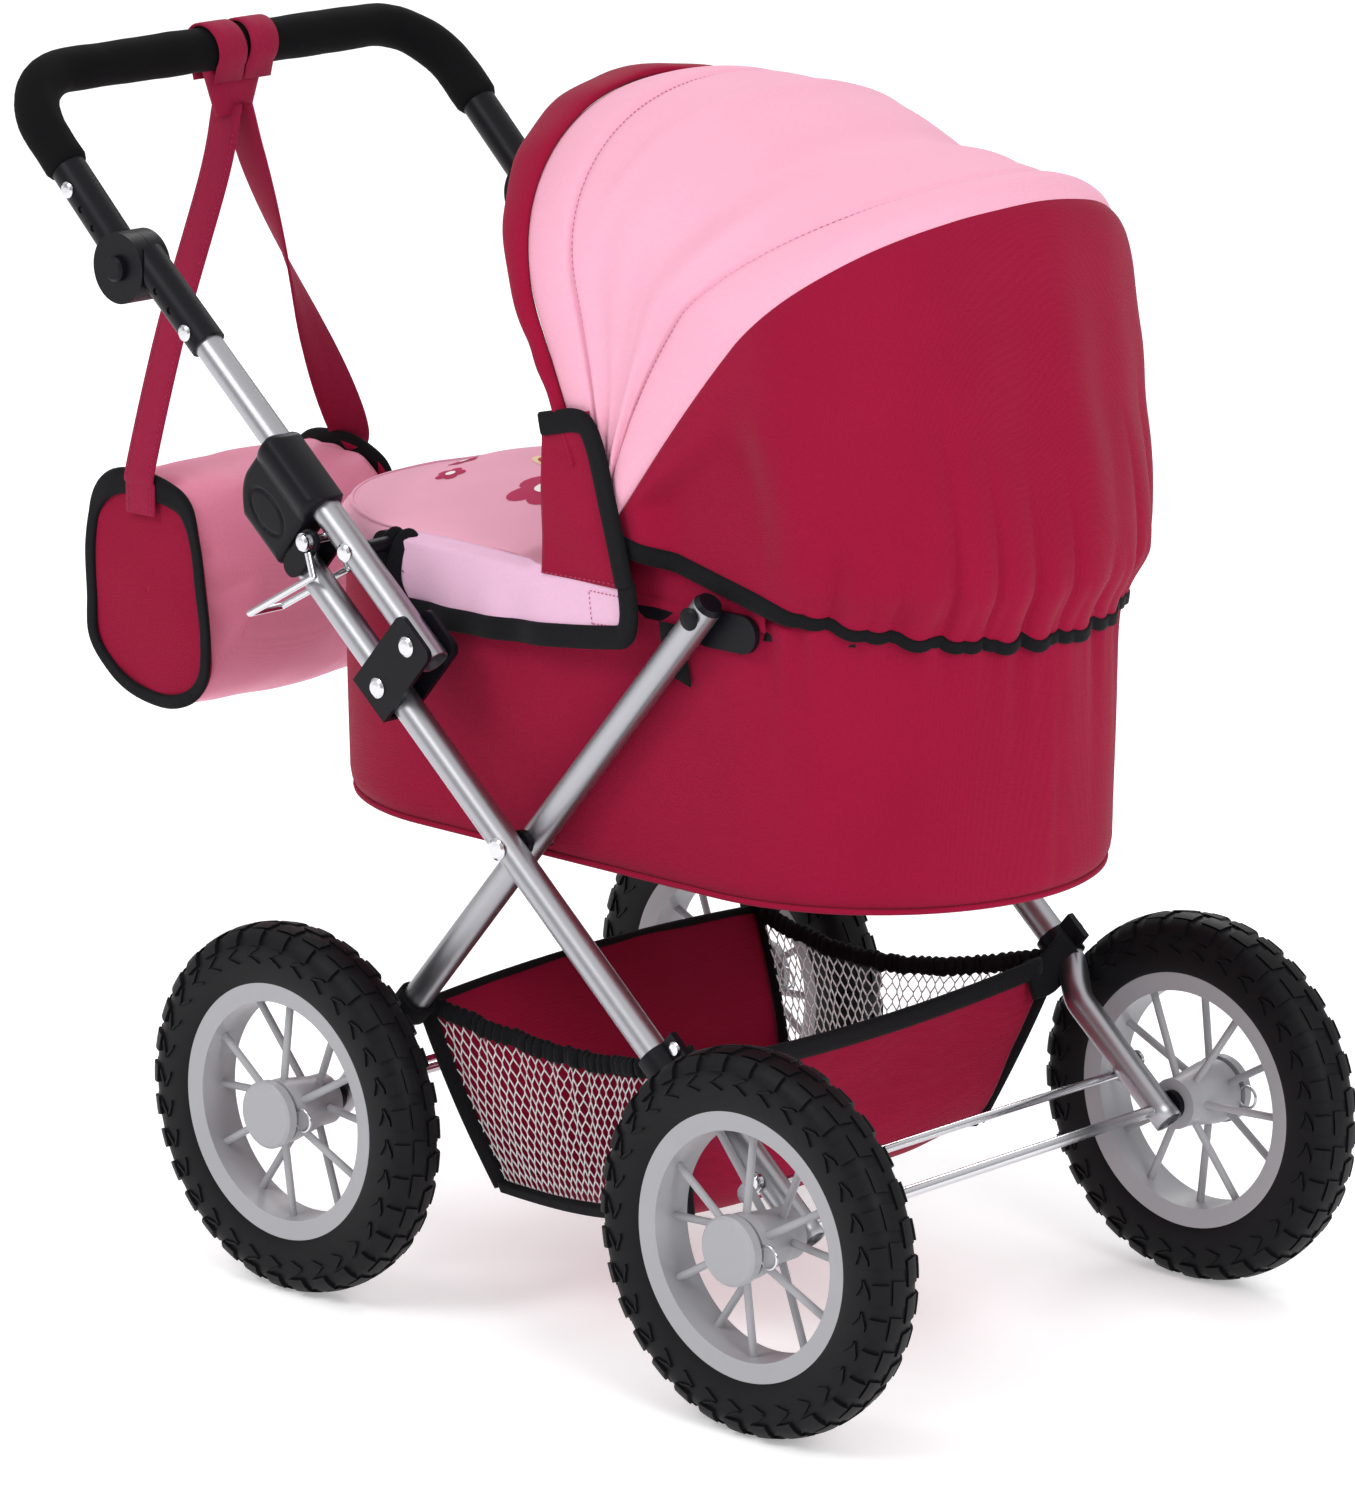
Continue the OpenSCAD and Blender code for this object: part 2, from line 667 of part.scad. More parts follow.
// a fabric shell between two plane angles
module hood_shell(from, to, start, rows = 14, cols = 30, t = 2) {
    n = rows + 1;
    m = cols + 1;
    angle = function(i) from + (to - from) * i / rows;
    points = concat(
        [for (i = [0 : rows], j = [0 : cols]) hood_point(angle(i), j / cols, 0, start)],
        [for (i = [0 : rows], j = [0 : cols]) hood_point(angle(i), j / cols, t, start)]);
    half = n * m;
    faces = concat(
        [for (i = [0 : rows - 1], j = [0 : cols - 1]) [i * m + j, (i + 1) * m + j, (i + 1) * m + j + 1]],
        [for (i = [0 : rows - 1], j = [0 : cols - 1]) [i * m + j, (i + 1) * m + j + 1, i * m + j + 1]],
        [for (i = [0 : rows - 1], j = [0 : cols - 1]) [half + i * m + j, half + (i + 1) * m + j + 1, half + (i + 1) * m + j]],
        [for (i = [0 : rows - 1], j = [0 : cols - 1]) [half + i * m + j, half + i * m + j + 1, half + (i + 1) * m + j + 1]],
        [for (j = [0 : cols - 1]) each [[j, j + 1, half + j + 1], [j, half + j + 1, half + j]]],
        [for (j = [0 : cols - 1]) each [[rows * m + j, half + rows * m + j + 1, rows * m + j + 1],
                                        [rows * m + j, half + rows * m + j, half + rows * m + j + 1]]],
        [for (i = [0 : rows - 1]) each [[i * m, half + (i + 1) * m, (i + 1) * m], [i * m, half + i * m, half + (i + 1) * m]]],
        [for (i = [0 : rows - 1]) each [[i * m + cols, (i + 1) * m + cols, half + (i + 1) * m + cols],
                                        [i * m + cols, half + (i + 1) * m + cols, half + i * m + cols]]]);
    polyhedron(points, faces);
}

module hood_front_fabric() {
    color("#f7bad1") hood_shell(120, 48, 45);
}

module hood_rear_fabric() {
    color("#96163a") hood_shell(47, -10, 62);
}

// a wire bow inside the hood, in the plane at angle a, with an eye at each end
// a wire bow in the plane at angle a, with eyes from y outwards and its straight legs at wire_y
module bow(a, y, wire_y) {
    steps = 28;
    inset = hood_w - wire_y;
    sides = 10;
    start = 6;
    path = [for (j = [0 : steps]) let (p = hood_point(a, j / steps, inset, start))
            [p[1], norm([p[0] - hood_x, p[2] - hood_z])]];
    translate([hood_x, 0, hood_z]) rotate([0, 90 - a, 0]) difference() {
        union() {
            wire_sweep(path, bow_r, sides);
            both_sides() across(6, y, y + 2.4);
        }
        both_sides() across(pivot_r + run, y - 1, y + 4);
    }
}

// a round wire along a path of [y, z] points
module wire_sweep(path, r, sides) {
    last = len(path) - 1;
    heading = function(i) let (d = path[min(i + 1, last)] - path[max(i - 1, 0)]) d / norm(d);
    points = [for (i = [0 : last], k = [0 : sides - 1])
        let (d = heading(i), q = 360 * k / sides)
        [r * cos(q), path[i][0] - d[1] * r * sin(q), path[i][1] + d[0] * r * sin(q)]];
    faces = concat(
        [for (i = [0 : last - 1], k = [0 : sides - 1]) let (e = (k + 1) % sides)
            each [[i * sides + k, i * sides + e, (i + 1) * sides + e],
                  [i * sides + k, (i + 1) * sides + e, (i + 1) * sides + k]]],
        [[for (k = [sides - 1 : -1 : 0]) k], [for (k = [0 : sides - 1]) last * sides + k]]);
    polyhedron(points, faces);
}

module hood_front_bow() {
    color("silver") bow(103, 130.2, 131.7);
}

module hood_rear_bow() {
    color("silver") bow(50, 127.4, 128.6);
}

module hood_brackets() {
    color("#26232d") both_sides() translate([hood_x, 0, 0]) {
        strap_plate([0, tub_top - rim_h + 7], [0, hood_z], 7, tub_r, tub_r + 2);
        translate([0, 0, hood_z]) across(pivot_r, tub_r + 1, tub_r + 8.4);
    }
}

// ---- basket ----

// wide at its open top, narrower at its floor
module basket_block(inset) {
    floor_x = [axle_mid_x - 66, axle_mid_x + 56];
    open_x = [axle_mid_x - 116, axle_mid_x + 88];
    floor_half = 114;
    open_half = 126;
    open_z = inset > 0 ? 164 : 162;
    hull() {
        translate([open_x[0] + inset, -open_half + inset, open_z])
            cube([open_x[1] - open_x[0] - 2 * inset, 2 * (open_half - inset), 1]);
        translate([floor_x[0] + inset, -floor_half + inset, 65 + inset])
            cube([floor_x[1] - floor_x[0] - 2 * inset, 2 * (floor_half - inset), 1]);
    }
}

module basket() {
    color("#96163a") difference() {
        basket_block(0);
        basket_block(cloth);
    }
}

main_tube(1);  // main_tube_left
main_tube(-1);  // main_tube_right
cross_tube(1);  // cross_tube_left
cross_tube(-1);  // cross_tube_right
front_rods();
rear_rods();
fold_brackets();
catch_lugs();
basket_clamps();
frame_rivets();
cross_rivets();
cross_tube_plugs();
front_bushes();
rear_bushes();
basket();
tyre(front_x, 1);  // tyre_front_left
tyre(front_x, -1);  // tyre_front_right
tyre(rear_x, 1);  // tyre_rear_left
tyre(rear_x, -1);  // tyre_rear_right
rim(front_x, 1);  // rim_front_left
rim(front_x, -1);  // rim_front_right
rim(rear_x, 1);  // rim_rear_left
rim(rear_x, -1);  // rim_rear_right
hub_cap(front_x, 1);  // hub_cap_front_left
hub_cap(front_x, -1);  // hub_cap_front_right
hub_cap(rear_x, 1);  // hub_cap_rear_left
hub_cap(rear_x, -1);  // hub_cap_rear_right
clip(front_x, 1);  // clip_front_left
clip(front_x, -1);  // clip_front_right
clip(rear_x, 1);  // clip_rear_left
clip(rear_x, -1);  // clip_rear_right
handle_post(1);  // handle_post_left
handle_post(-1);  // handle_post_right
hinge_lower(1);  // hinge_lower_left
hinge_lower(-1);  // hinge_lower_right
post_rivets();
lock_housing(1);  // lock_housing_left
lock_housing(-1);  // lock_housing_right
wire_bail(1);  // wire_bail_left
wire_bail(-1);  // wire_bail_right
hinge_upper(1);  // hinge_upper_left
hinge_upper(-1);  // hinge_upper_right
handle_tube();
foam_grip();
handle_rivets();
hinge_button(1);  // hinge_button_left
hinge_button(-1);  // hinge_button_right
bag_body();
bag_strap();
cot_rim();
cot_tub();
base_board();
mattress();
cover();
mount_plates();
hood_brackets();
hood_front_bow();
hood_rear_bow();
hood_front_fabric();
hood_rear_fabric();
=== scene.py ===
"""The looks of a folding doll's pram: fabric, tyres, tubes, materials, light and camera."""

import json
import math

import bpy
import numpy as np
from mathutils import Matrix, Vector, noise
from mathutils.bvhtree import BVHTree


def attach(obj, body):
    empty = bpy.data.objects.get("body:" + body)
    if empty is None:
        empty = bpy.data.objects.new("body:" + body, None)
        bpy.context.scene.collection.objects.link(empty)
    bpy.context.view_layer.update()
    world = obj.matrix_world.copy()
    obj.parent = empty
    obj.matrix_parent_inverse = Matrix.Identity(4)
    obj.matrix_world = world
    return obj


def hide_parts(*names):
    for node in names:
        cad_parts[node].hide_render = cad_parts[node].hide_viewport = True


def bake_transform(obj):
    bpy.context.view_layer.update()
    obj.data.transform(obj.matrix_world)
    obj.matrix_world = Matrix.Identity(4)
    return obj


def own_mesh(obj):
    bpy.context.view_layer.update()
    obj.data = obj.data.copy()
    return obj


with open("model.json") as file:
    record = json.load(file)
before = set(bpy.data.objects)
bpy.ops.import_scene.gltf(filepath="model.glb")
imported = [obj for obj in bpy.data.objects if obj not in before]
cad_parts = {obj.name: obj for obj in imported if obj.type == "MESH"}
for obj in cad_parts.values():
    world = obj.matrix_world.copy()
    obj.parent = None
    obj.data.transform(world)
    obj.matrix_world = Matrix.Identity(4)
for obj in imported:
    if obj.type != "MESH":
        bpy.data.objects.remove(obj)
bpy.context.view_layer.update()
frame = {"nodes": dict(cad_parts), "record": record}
MM = 0.001

# ---- colours, as the eye sees them (sRGB 0..255) ----

BORDEAUX = (140, 10, 48)
PINK = (232, 168, 190)
LILAC = (222, 178, 204)
SATIN = (226, 134, 162)
BLACK_TAPE = (9, 8, 12)
NET_WHITE = (250, 248, 252)
THREAD_PINK = (214, 128, 164)
THREAD_RED = (178, 60, 100)
SILVER = (172, 172, 177)
CHROME = (214, 214, 218)
PLASTIC = (14, 13, 19)
RUBBER = (13, 13, 16)
RIM = (160, 160, 164)
FOAM = (7, 7, 9)
CREAM = (238, 214, 168)


def linear(rgb):
    """An sRGB colour, 0..255, as Blender's linear RGBA."""
    def one(c):
        c /= 255
        return c / 12.92 if c <= 0.04045 else ((c + 0.055) / 1.055) ** 2.4
    return (*(one(c) for c in rgb), 1.0)


# ---- materials ----

SOCKETS = {"sheen_weight": "Sheen Weight", "sheen_roughness": "Sheen Roughness",
           "specular_ior": "Specular IOR Level",
           "coat_weight": "Coat Weight", "coat_roughness": "Coat Roughness"}


class Shader:
    """A Principled material whose nodes are added one call at a time."""

    def __init__(self, name, roughness, metallic=0.0, **values):
        self.material = bpy.data.materials.new(name)
        self.material.use_nodes = True
        self.tree = self.material.node_tree
        self.bsdf = self.tree.nodes["Principled BSDF"]
        self.bsdf.inputs["Roughness"].default_value = roughness
        self.bsdf.inputs["Metallic"].default_value = metallic
        for key, value in values.items():
            self.bsdf.inputs[SOCKETS[key]].default_value = value
        self.coords = self.node("ShaderNodeTexCoord").outputs["Object"]

    def node(self, kind, **values):
        made = self.tree.nodes.new(kind)
        for key, value in values.items():
            setattr(made, key, value)
        return made

    def link(self, out, into):
        self.tree.links.new(out, into)
        return into

    def noise(self, scale, detail=3.0, stretch=(1, 1, 1)):
        mapping = self.node("ShaderNodeMapping")
        mapping.inputs["Scale"].default_value = stretch
        self.link(self.coords, mapping.inputs["Vector"])
        texture = self.node("ShaderNodeTexNoise")
        texture.inputs["Scale"].default_value = scale
        texture.inputs["Detail"].default_value = detail
        self.link(mapping.outputs["Vector"], texture.inputs["Vector"])
        return texture.outputs["Fac"]

    def stripes(self, direction, period):
        """Soft stripes across a direction, 0..1, one per period (mm)."""
        dot = self.node("ShaderNodeVectorMath", operation="DOT_PRODUCT")
        turn = Vector(direction).normalized() * (2 * math.pi / (period * MM))
        dot.inputs[1].default_value = turn
        self.link(self.coords, dot.inputs[0])
        return self.math("SINE", dot.outputs["Value"])

    def math(self, operation, a, b=None):
        made = self.node("ShaderNodeMath", operation=operation)
        for socket, value in zip(made.inputs, (a, b)):
            if value is None:
                continue
            if isinstance(value, (int, float)):
                socket.default_value = value
            else:
                self.link(value, socket)
        return made.outputs["Value"]

    def spread(self, value, low, high):
        made = self.node("ShaderNodeMapRange")
        for key, number in (("From Min", low), ("From Max", high)):
            made.inputs[key].default_value = number
        self.link(value, made.inputs["Value"])
        return made.outputs["Result"]

    def colours(self, factor, first, second):
        mix = self.node("ShaderNodeMix", data_type="RGBA")
        mix.inputs["A"].default_value = linear(first)
        mix.inputs["B"].default_value = linear(second)
        self.link(factor, mix.inputs["Factor"])
        self.link(mix.outputs["Result"], self.bsdf.inputs["Base Color"])

    def bump(self, height, strength, distance):
        made = self.node("ShaderNodeBump")
        made.inputs["Strength"].default_value = strength
        made.inputs["Distance"].default_value = distance * MM
        self.link(height, made.inputs["Height"])
        self.link(made.outputs["Normal"], self.bsdf.inputs["Normal"])

    def roughness(self, factor, low, high):
        made = self.node("ShaderNodeMapRange")
        made.inputs["To Min"].default_value = low
        made.inputs["To Max"].default_value = high
        self.link(factor, made.inputs["Value"])
        self.link(made.outputs["Result"], self.bsdf.inputs["Roughness"])


def lighter(rgb, by):
    return tuple(max(0, min(255, c + by * (0.35 + 0.65 * c / 255))) for c in rgb)


def woven(name, rgb, contrast, period, roughness=0.85, sheen=0.06, relief=0.35, slub=0.25):
    """Plain-woven cloth: two crossing sets of threads, with soft unevenness in tone."""
    s = Shader(name, roughness, sheen_weight=sheen, sheen_roughness=0.45, specular_ior=0.12)
    warp = s.stripes((1, 0.35, 0.9), period)
    weft = s.stripes((-0.9, 0.35, 1), period)
    cloth = s.math("MULTIPLY", warp, weft)
    fuzz = s.noise(900, 2)
    broad = s.noise(14, 4)
    tone = s.math("ADD", s.math("MULTIPLY", cloth, 0.5),
                  s.math("MULTIPLY", s.math("SUBTRACT", fuzz, 0.5), 2.2))
    tone = s.math("ADD", tone, s.math("MULTIPLY", s.math("SUBTRACT", broad, 0.5), slub * 8))
    s.colours(s.spread(tone, -1.4, 1.4), lighter(rgb, -contrast), lighter(rgb, contrast))
    s.bump(s.math("ADD", cloth, s.math("MULTIPLY", fuzz, 0.8)), relief, 0.25)
    return s.material


def ribbed(name, rgb):
    """Ribbed binding tape or webbing."""
    s = Shader(name, 0.8, sheen_weight=0.03, specular_ior=0.15)
    ribs = s.math("MULTIPLY", s.stripes((1, 0.2, 0.3), 0.9), s.stripes((0.2, 1, 0.9), 0.9))
    grain = s.noise(500, 2)
    s.colours(grain, lighter(rgb, -8), lighter(rgb, 14))
    s.bump(s.math("ADD", ribs, grain), 0.4, 0.25)
    return s.material


def metal(name, rgb, roughness, grain=0.06, brushed=(1, 1, 1)):
    s = Shader(name, roughness, 1.0)
    fine = s.noise(350, 3, brushed)
    cloudy = s.noise(9, 3)
    s.colours(cloudy, lighter(rgb, -7), lighter(rgb, 7))
    s.roughness(fine, roughness - grain, roughness + grain)
    s.bump(fine, 0.05, 0.1)
    return s.material


def moulded(name, rgb, roughness, grain_scale, relief, tone=6, coat=0.0, gloss=0.16):
    """Moulded plastic, rubber or foam with a fine surface grain."""
    s = Shader(name, roughness, specular_ior=gloss, coat_weight=coat, coat_roughness=0.3)
    grain = s.noise(grain_scale, 3)
    worn = s.noise(22, 4)
    s.colours(worn, lighter(rgb, -tone), lighter(rgb, tone))
    s.roughness(worn, roughness - 0.07, roughness + 0.07)
    s.bump(grain, relief, 0.3)
    return s.material


M = {
    "fabric_bordeaux": woven("bordeaux_canvas", BORDEAUX, 12, 1.5, relief=0.28),
    "fabric_pink": woven("pink_twill", PINK, 8, 1.1, relief=0.3, slub=0.12),
    "apron_lilac": woven("lilac_twill", LILAC, 8, 1.1, relief=0.3, slub=0.15),
    "satin_pink": woven("satin_pink", SATIN, 12, 0.8, roughness=0.48, sheen=0.12, relief=0.12, slub=0.3),
    "print_red": woven("print_red", (178, 38, 84), 10, 1.1, roughness=0.8, sheen=0.1, relief=0.25),
    "print_white": woven("print_white", (246, 240, 238), 6, 1.1, roughness=0.8, sheen=0.1, relief=0.25),
    "print_cream": woven("print_cream", CREAM, 8, 1.1, roughness=0.8, sheen=0.1, relief=0.25),
    "binding_black": ribbed("binding_black", BLACK_TAPE),
    "webbing": ribbed("webbing_bordeaux", (142, 20, 56)),
    "thread_pink": ribbed("thread_pink", THREAD_PINK),
    "thread_red": ribbed("thread_red", THREAD_RED),
    "mesh_white": ribbed("net_white", NET_WHITE),
    "tube_silver": metal("silver_lacquer", SILVER, 0.36),
    "rod_steel": metal("steel_wire", CHROME, 0.2, 0.05),
    "rivet_chrome": metal("rivet_chrome", CHROME, 0.14, 0.04),
    "plastic_black": moulded("black_plastic", PLASTIC, 0.42, 700, 0.25),
    "tyre_rubber": moulded("tyre_foam_rubber", RUBBER, 0.52, 400, 0.3, 4),
    "rim_grey": moulded("rim_plastic", RIM, 0.38, 300, 0.06, 5, coat=0.15),
    "foam_black": moulded("grip_foam", FOAM, 0.9, 900, 0.7, 5, gloss=0.15),
}

SLOT_OF = {part["node"]: part["material_slot"] for part in frame["record"]["subparts"]}
for node_name, node_object in frame["nodes"].items():
    node_object.data.materials.clear()
    node_object.data.materials.append(M[SLOT_OF[node_name]])

# ---- mesh helpers (all lengths in mm until a mesh is made) ----

SIDES = (("left", 1), ("right", -1))


def ease(t):
    t = np.clip(t, 0, 1)
    return t * t * (3 - 2 * t)


def bell(x, centre, width):
    """1 where x is at the centre, falling smoothly to 0 within about two widths."""
    return np.exp(-((x - centre) / width) ** 2)


def grid(n, m):
    """Two n by m arrays: the first runs from 0 to 1 down the rows, the second from 0 to 1 along them."""
    return np.meshgrid(np.linspace(0, 1, n), np.linspace(0, 1, m), indexing="ij")


def column(*parts):
    """Arrays of x, y and z as one array of points."""
    return np.stack(np.broadcast_arrays(*[np.asarray(p, float) for p in parts]), axis=-1)


def spline(points, count, closed=False):
    """A smooth curve of count points through the given ones."""
    p = np.asarray(points, float)
    n = len(p)
    if closed:
        p = np.concatenate([p[-1:], p, p[:2]])
        t = np.linspace(0, n, count, endpoint=False)
    else:
        p = np.concatenate([2 * p[:1] - p[1:2], p, 2 * p[-1:] - p[-2:-1]])
        t = np.linspace(0, n - 1, count)
    i = np.minimum(t.astype(int), len(p) - 4)
    f = (t - i)[:, None]
    a, b, c, d = p[i], p[i + 1], p[i + 2], p[i + 3]
    return 0.5 * (2 * b + (c - a) * f + (2 * a - 5 * b + 4 * c - d) * f ** 2
                  + (3 * b - a - 3 * c + d) * f ** 3)


def resample(path, step):
    lengths = np.concatenate([[0], np.cumsum(np.linalg.norm(np.diff(path, axis=0), axis=1))])
    at = np.linspace(0, lengths[-1], max(3, int(lengths[-1] / step) + 1))
    return np.stack([np.interp(at, lengths, path[:, k]) for k in range(3)], axis=1)


def lumps(points, size, seed):
    """Smooth bumps, about -1..1, of the given size in mm."""
    flat = np.asarray(points, float).reshape(-1, 3) / size + seed * 7.31
    values = np.array([noise.noise(Vector(p)) for p in flat])
    return values.reshape(np.asarray(points).shape[:-1])


def make(name, points, faces, material):
    mesh = bpy.data.meshes.new(name)
    mesh.from_pydata((np.asarray(points, float).reshape(-1, 3) * MM).tolist(), [], faces)
    mesh.validate()
    mesh.polygons.foreach_set("use_smooth", [True] * len(mesh.polygons))
    mesh.materials.append(M[material])
    obj = bpy.data.objects.new(name, mesh)
    bpy.context.scene.collection.objects.link(obj)
    return obj


def grid_faces(n, m, wrap, base=0, flip=False):
    faces = []
    for i in range(n - 1):
        for j in range(m if wrap else m - 1):
            k = (j + 1) % m
            quad = (base + i * m + j, base + (i + 1) * m + j, base + (i + 1) * m + k, base + i * m + k)
            faces.append(quad[::-1] if flip else quad)
    return faces


def row_walls(n, m, wrap):
    """Faces that join the first and the last rows of two n by m grids."""
    faces = []
    for row, turn in ((0, False), (n - 1, True)):
        for j in range(m if wrap else m - 1):
            k = (j + 1) % m
            quad = (row * m + j, row * m + k, n * m + row * m + k, n * m + row * m + j)
            faces.append(quad[::-1] if turn else quad)
    return faces


def column_walls(n, m):
    """Faces that join the first and the last columns of two n by m grids."""
    faces = []
    for col, turn in ((0, True), (m - 1, False)):
        for i in range(n - 1):
            quad = (i * m + col, (i + 1) * m + col, n * m + (i + 1) * m + col, n * m + i * m + col)
            faces.append(quad[::-1] if turn else quad)
    return faces


def two_grids(n, m, wrap=False):
    """Faces of a thick sheet, without its walls."""
    return grid_faces(n, m, wrap) + grid_faces(n, m, wrap, n * m, True)


def normals_of(p, wrap=False):
    along = np.gradient(p, axis=0)
    across = (np.roll(p, -1, 1) - np.roll(p, 1, 1)) / 2 if wrap else np.gradient(p, axis=1)
    n = np.cross(along, across)
    return n / (np.linalg.norm(n, axis=-1, keepdims=True) + 1e-9)


def shell(name, p, thickness, material, wrap=False, out=None):
    """Cloth of some thickness from a grid of points. out is a direction or a point array on its outside."""
    n, m = p.shape[:2]
    normal = normals_of(p, wrap)
    if out is not None:
        facing = (normal * np.asarray(out, float)).sum(-1).mean()
        if facing < 0:
            p = p[:, ::-1]
            normal = -normal[:, ::-1]
    inner = p - normal * thickness
    faces = two_grids(n, m, wrap) + row_walls(n, m, wrap)
    if not wrap:
        faces += column_walls(n, m)
    return make(name, np.concatenate([p.reshape(-1, 3), inner.reshape(-1, 3)]), faces, material)


def rings(name, p, material):
    """A closed form: each row of points is a ring, and both end rings are closed with a point."""
    n, m = p.shape[:2]
    points = np.concatenate([p.reshape(-1, 3), p[:1].mean(1), p[-1:].mean(1)])
    faces = grid_faces(n, m, True)
    for j in range(m):
        k = (j + 1) % m
        faces.append((n * m, j, k))
        faces.append((n * m + 1, (n - 1) * m + k, (n - 1) * m + j))
    return make(name, points, faces, material)


def tangents_of(path, closed):
    t = np.roll(path, -1, 0) - np.roll(path, 1, 0) if closed else np.gradient(path, axis=0)
    return t / (np.linalg.norm(t, axis=1, keepdims=True) + 1e-9)


def frames_along(path):
    """A direction across the path at each point that turns as little as it can."""
    t = tangents_of(path, False)
    start = np.cross(t[0], (0, 0, 1) if abs(t[0][2]) < 0.9 else (1, 0, 0))
    across = [start / np.linalg.norm(start)]
    for k in range(1, len(path)):
        v = across[-1] - t[k] * np.dot(across[-1], t[k])
        across.append(v / np.linalg.norm(v))
    return np.array(across)


def swept(path, section, normals, closed=False):
    """Rings of points: section = (sideways, outward) at each point of the path."""
    t = tangents_of(path, closed)
    normals = np.broadcast_to(np.asarray(normals, float), path.shape)
    normals = normals - t * (normals * t).sum(1, keepdims=True)
    normals = normals / (np.linalg.norm(normals, axis=1, keepdims=True) + 1e-9)
    side = np.cross(t, normals)
    section = np.asarray(section, float)
    if section.ndim == 2:
        section = np.broadcast_to(section, (len(path), *section.shape))
    return path[:, None] + side[:, None] * section[..., :1] + normals[:, None] * section[..., 1:]


def closed_sweep(name, p, material):
    """A ring-shaped tube: the last row joins the first."""
    n, m = p.shape[:2]
    faces = grid_faces(n, m, True)
    for j in range(m):
        k = (j + 1) % m
        faces.append(((n - 1) * m + j, j, k, (n - 1) * m + k))
    return make(name, p, faces, material)


def round_section(r, sides=12):
    a = np.linspace(0, 2 * math.pi, sides, endpoint=False)
    return np.stack([r * np.cos(a), r * np.sin(a)], axis=1)


def tape_section(width, thick):
    w, t = width / 2, thick / 2
    s = min(w, t) * 0.7
    return np.array([(-w, -t + s), (-w, t - s), (-w + s, t), (-w * 0.35, t * 1.08), (w * 0.35, t * 1.08),
                     (w - s, t), (w, t - s), (w, -t + s), (w - s, -t), (-w + s, -t)])


def tape(name, path, normals, width, thick, material, closed=False):
    p = swept(np.asarray(path, float), tape_section(width, thick), normals, closed)
    return closed_sweep(name, p, material) if closed else rings(name, p, material)


def stitches(name, path, material, pitch=3.4, r=0.42):
    """A row of thread stitches along a path."""
    points, faces = [], []
    path = resample(np.asarray(path, float), pitch)
    across = frames_along(path)
    for a, b, u in zip(path[:-1], path[1:], across):
        along = b - a
        w = np.cross(along / np.linalg.norm(along), u)
        first = len(points)
        points.append(a + along * 0.14)
        for v in (u, w, -u, -w):
            points.append(a + along * 0.5 + v * r)
        points.append(a + along * 0.86)
        for k in range(4):
            one, two = first + 1 + k, first + 1 + (k + 1) % 4
            faces += [(first, two, one), (first + 5, one, two)]
    return make(name, points, faces, material)


def joined(name, objects):
    """Several meshes of one material made into one object."""
    points, faces = [], []
    for obj in objects:
        base = len(points)
        points += [v.co / MM for v in obj.data.vertices]
        faces += [tuple(base + i for i in f.vertices) for f in obj.data.polygons]
    material = objects[0].data.materials[0]
    for obj in objects:
        bpy.data.objects.remove(obj)
    made = make(name, np.array([tuple(p) for p in points]), faces, "fabric_pink")
    made.data.materials.clear()
    made.data.materials.append(material)
    return made


def rides(obj, body, slot, *nodes):
    if nodes:
        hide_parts(*nodes)
    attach(obj, body)
    return obj


def folds_down(obj):
    """Gives a soft piece of the cot its own copy of its mesh."""
    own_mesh(obj)


def inflate(obj, voxel, cap, pressure=4.0):
    """Puffs a closed form up with a short cloth simulation. No point moves more than cap (mm)."""
    bpy.context.view_layer.objects.active = obj
    for other in bpy.context.selected_objects:
        other.select_set(False)
    obj.select_set(True)
    obj.data.remesh_voxel_size = voxel * MM
    bpy.ops.object.voxel_remesh()
    start = np.array([v.co for v in obj.data.vertices])
    cloth = obj.modifiers.new("puff", "CLOTH")
    cloth.settings.use_pressure = True
    cloth.settings.uniform_pressure_force = pressure
    cloth.settings.effector_weights.gravity = 0
    cloth.settings.tension_stiffness = 12
    cloth.settings.bending_stiffness = 0.4
    cloth.settings.quality = 5
    cloth.point_cache.frame_start, cloth.point_cache.frame_end = 1, 20
    for frame_number in range(1, 21):
        bpy.context.scene.frame_set(frame_number)
    shape = obj.evaluated_get(bpy.context.evaluated_depsgraph_get())
    moved = np.array([v.co for v in shape.data.vertices]) - start
    size = np.linalg.norm(moved, axis=1, keepdims=True) + 1e-9
    moved *= np.minimum(1, cap * MM / size)
    obj.modifiers.remove(cloth)
    obj.data.vertices.foreach_set("co", (start + moved).astype(np.float32).ravel())
    bpy.context.scene.frame_set(1)
    refine = obj.modifiers.new("refine", "SUBSURF")
    refine.levels = refine.render_levels = 1
    bpy.ops.object.modifier_apply(modifier=refine.name)
    obj.data.polygons.foreach_set("use_smooth", [True] * len(obj.data.polygons))
    return obj


# ---- the chassis frame: +x down the main tube, +z up the cross tube ----

RISE = math.radians(40.6)
PIVOT = (67.0, 270.0)


def chassis(x, z):
    x, z = np.asarray(x, float), np.asarray(z, float)
    return (PIVOT[0] + x * math.cos(RISE) + z * math.sin(RISE),
            PIVOT[1] - x * math.sin(RISE) + z * math.cos(RISE))


def in_chassis(x, y, z):
    cx, cz = chassis(x, z)
    return column(cx, y, cz)


MAIN_Y = 157.0
LEG_Y = 142.0
MAIN_TOP = -215.0
MAIN_LOW = 267.2


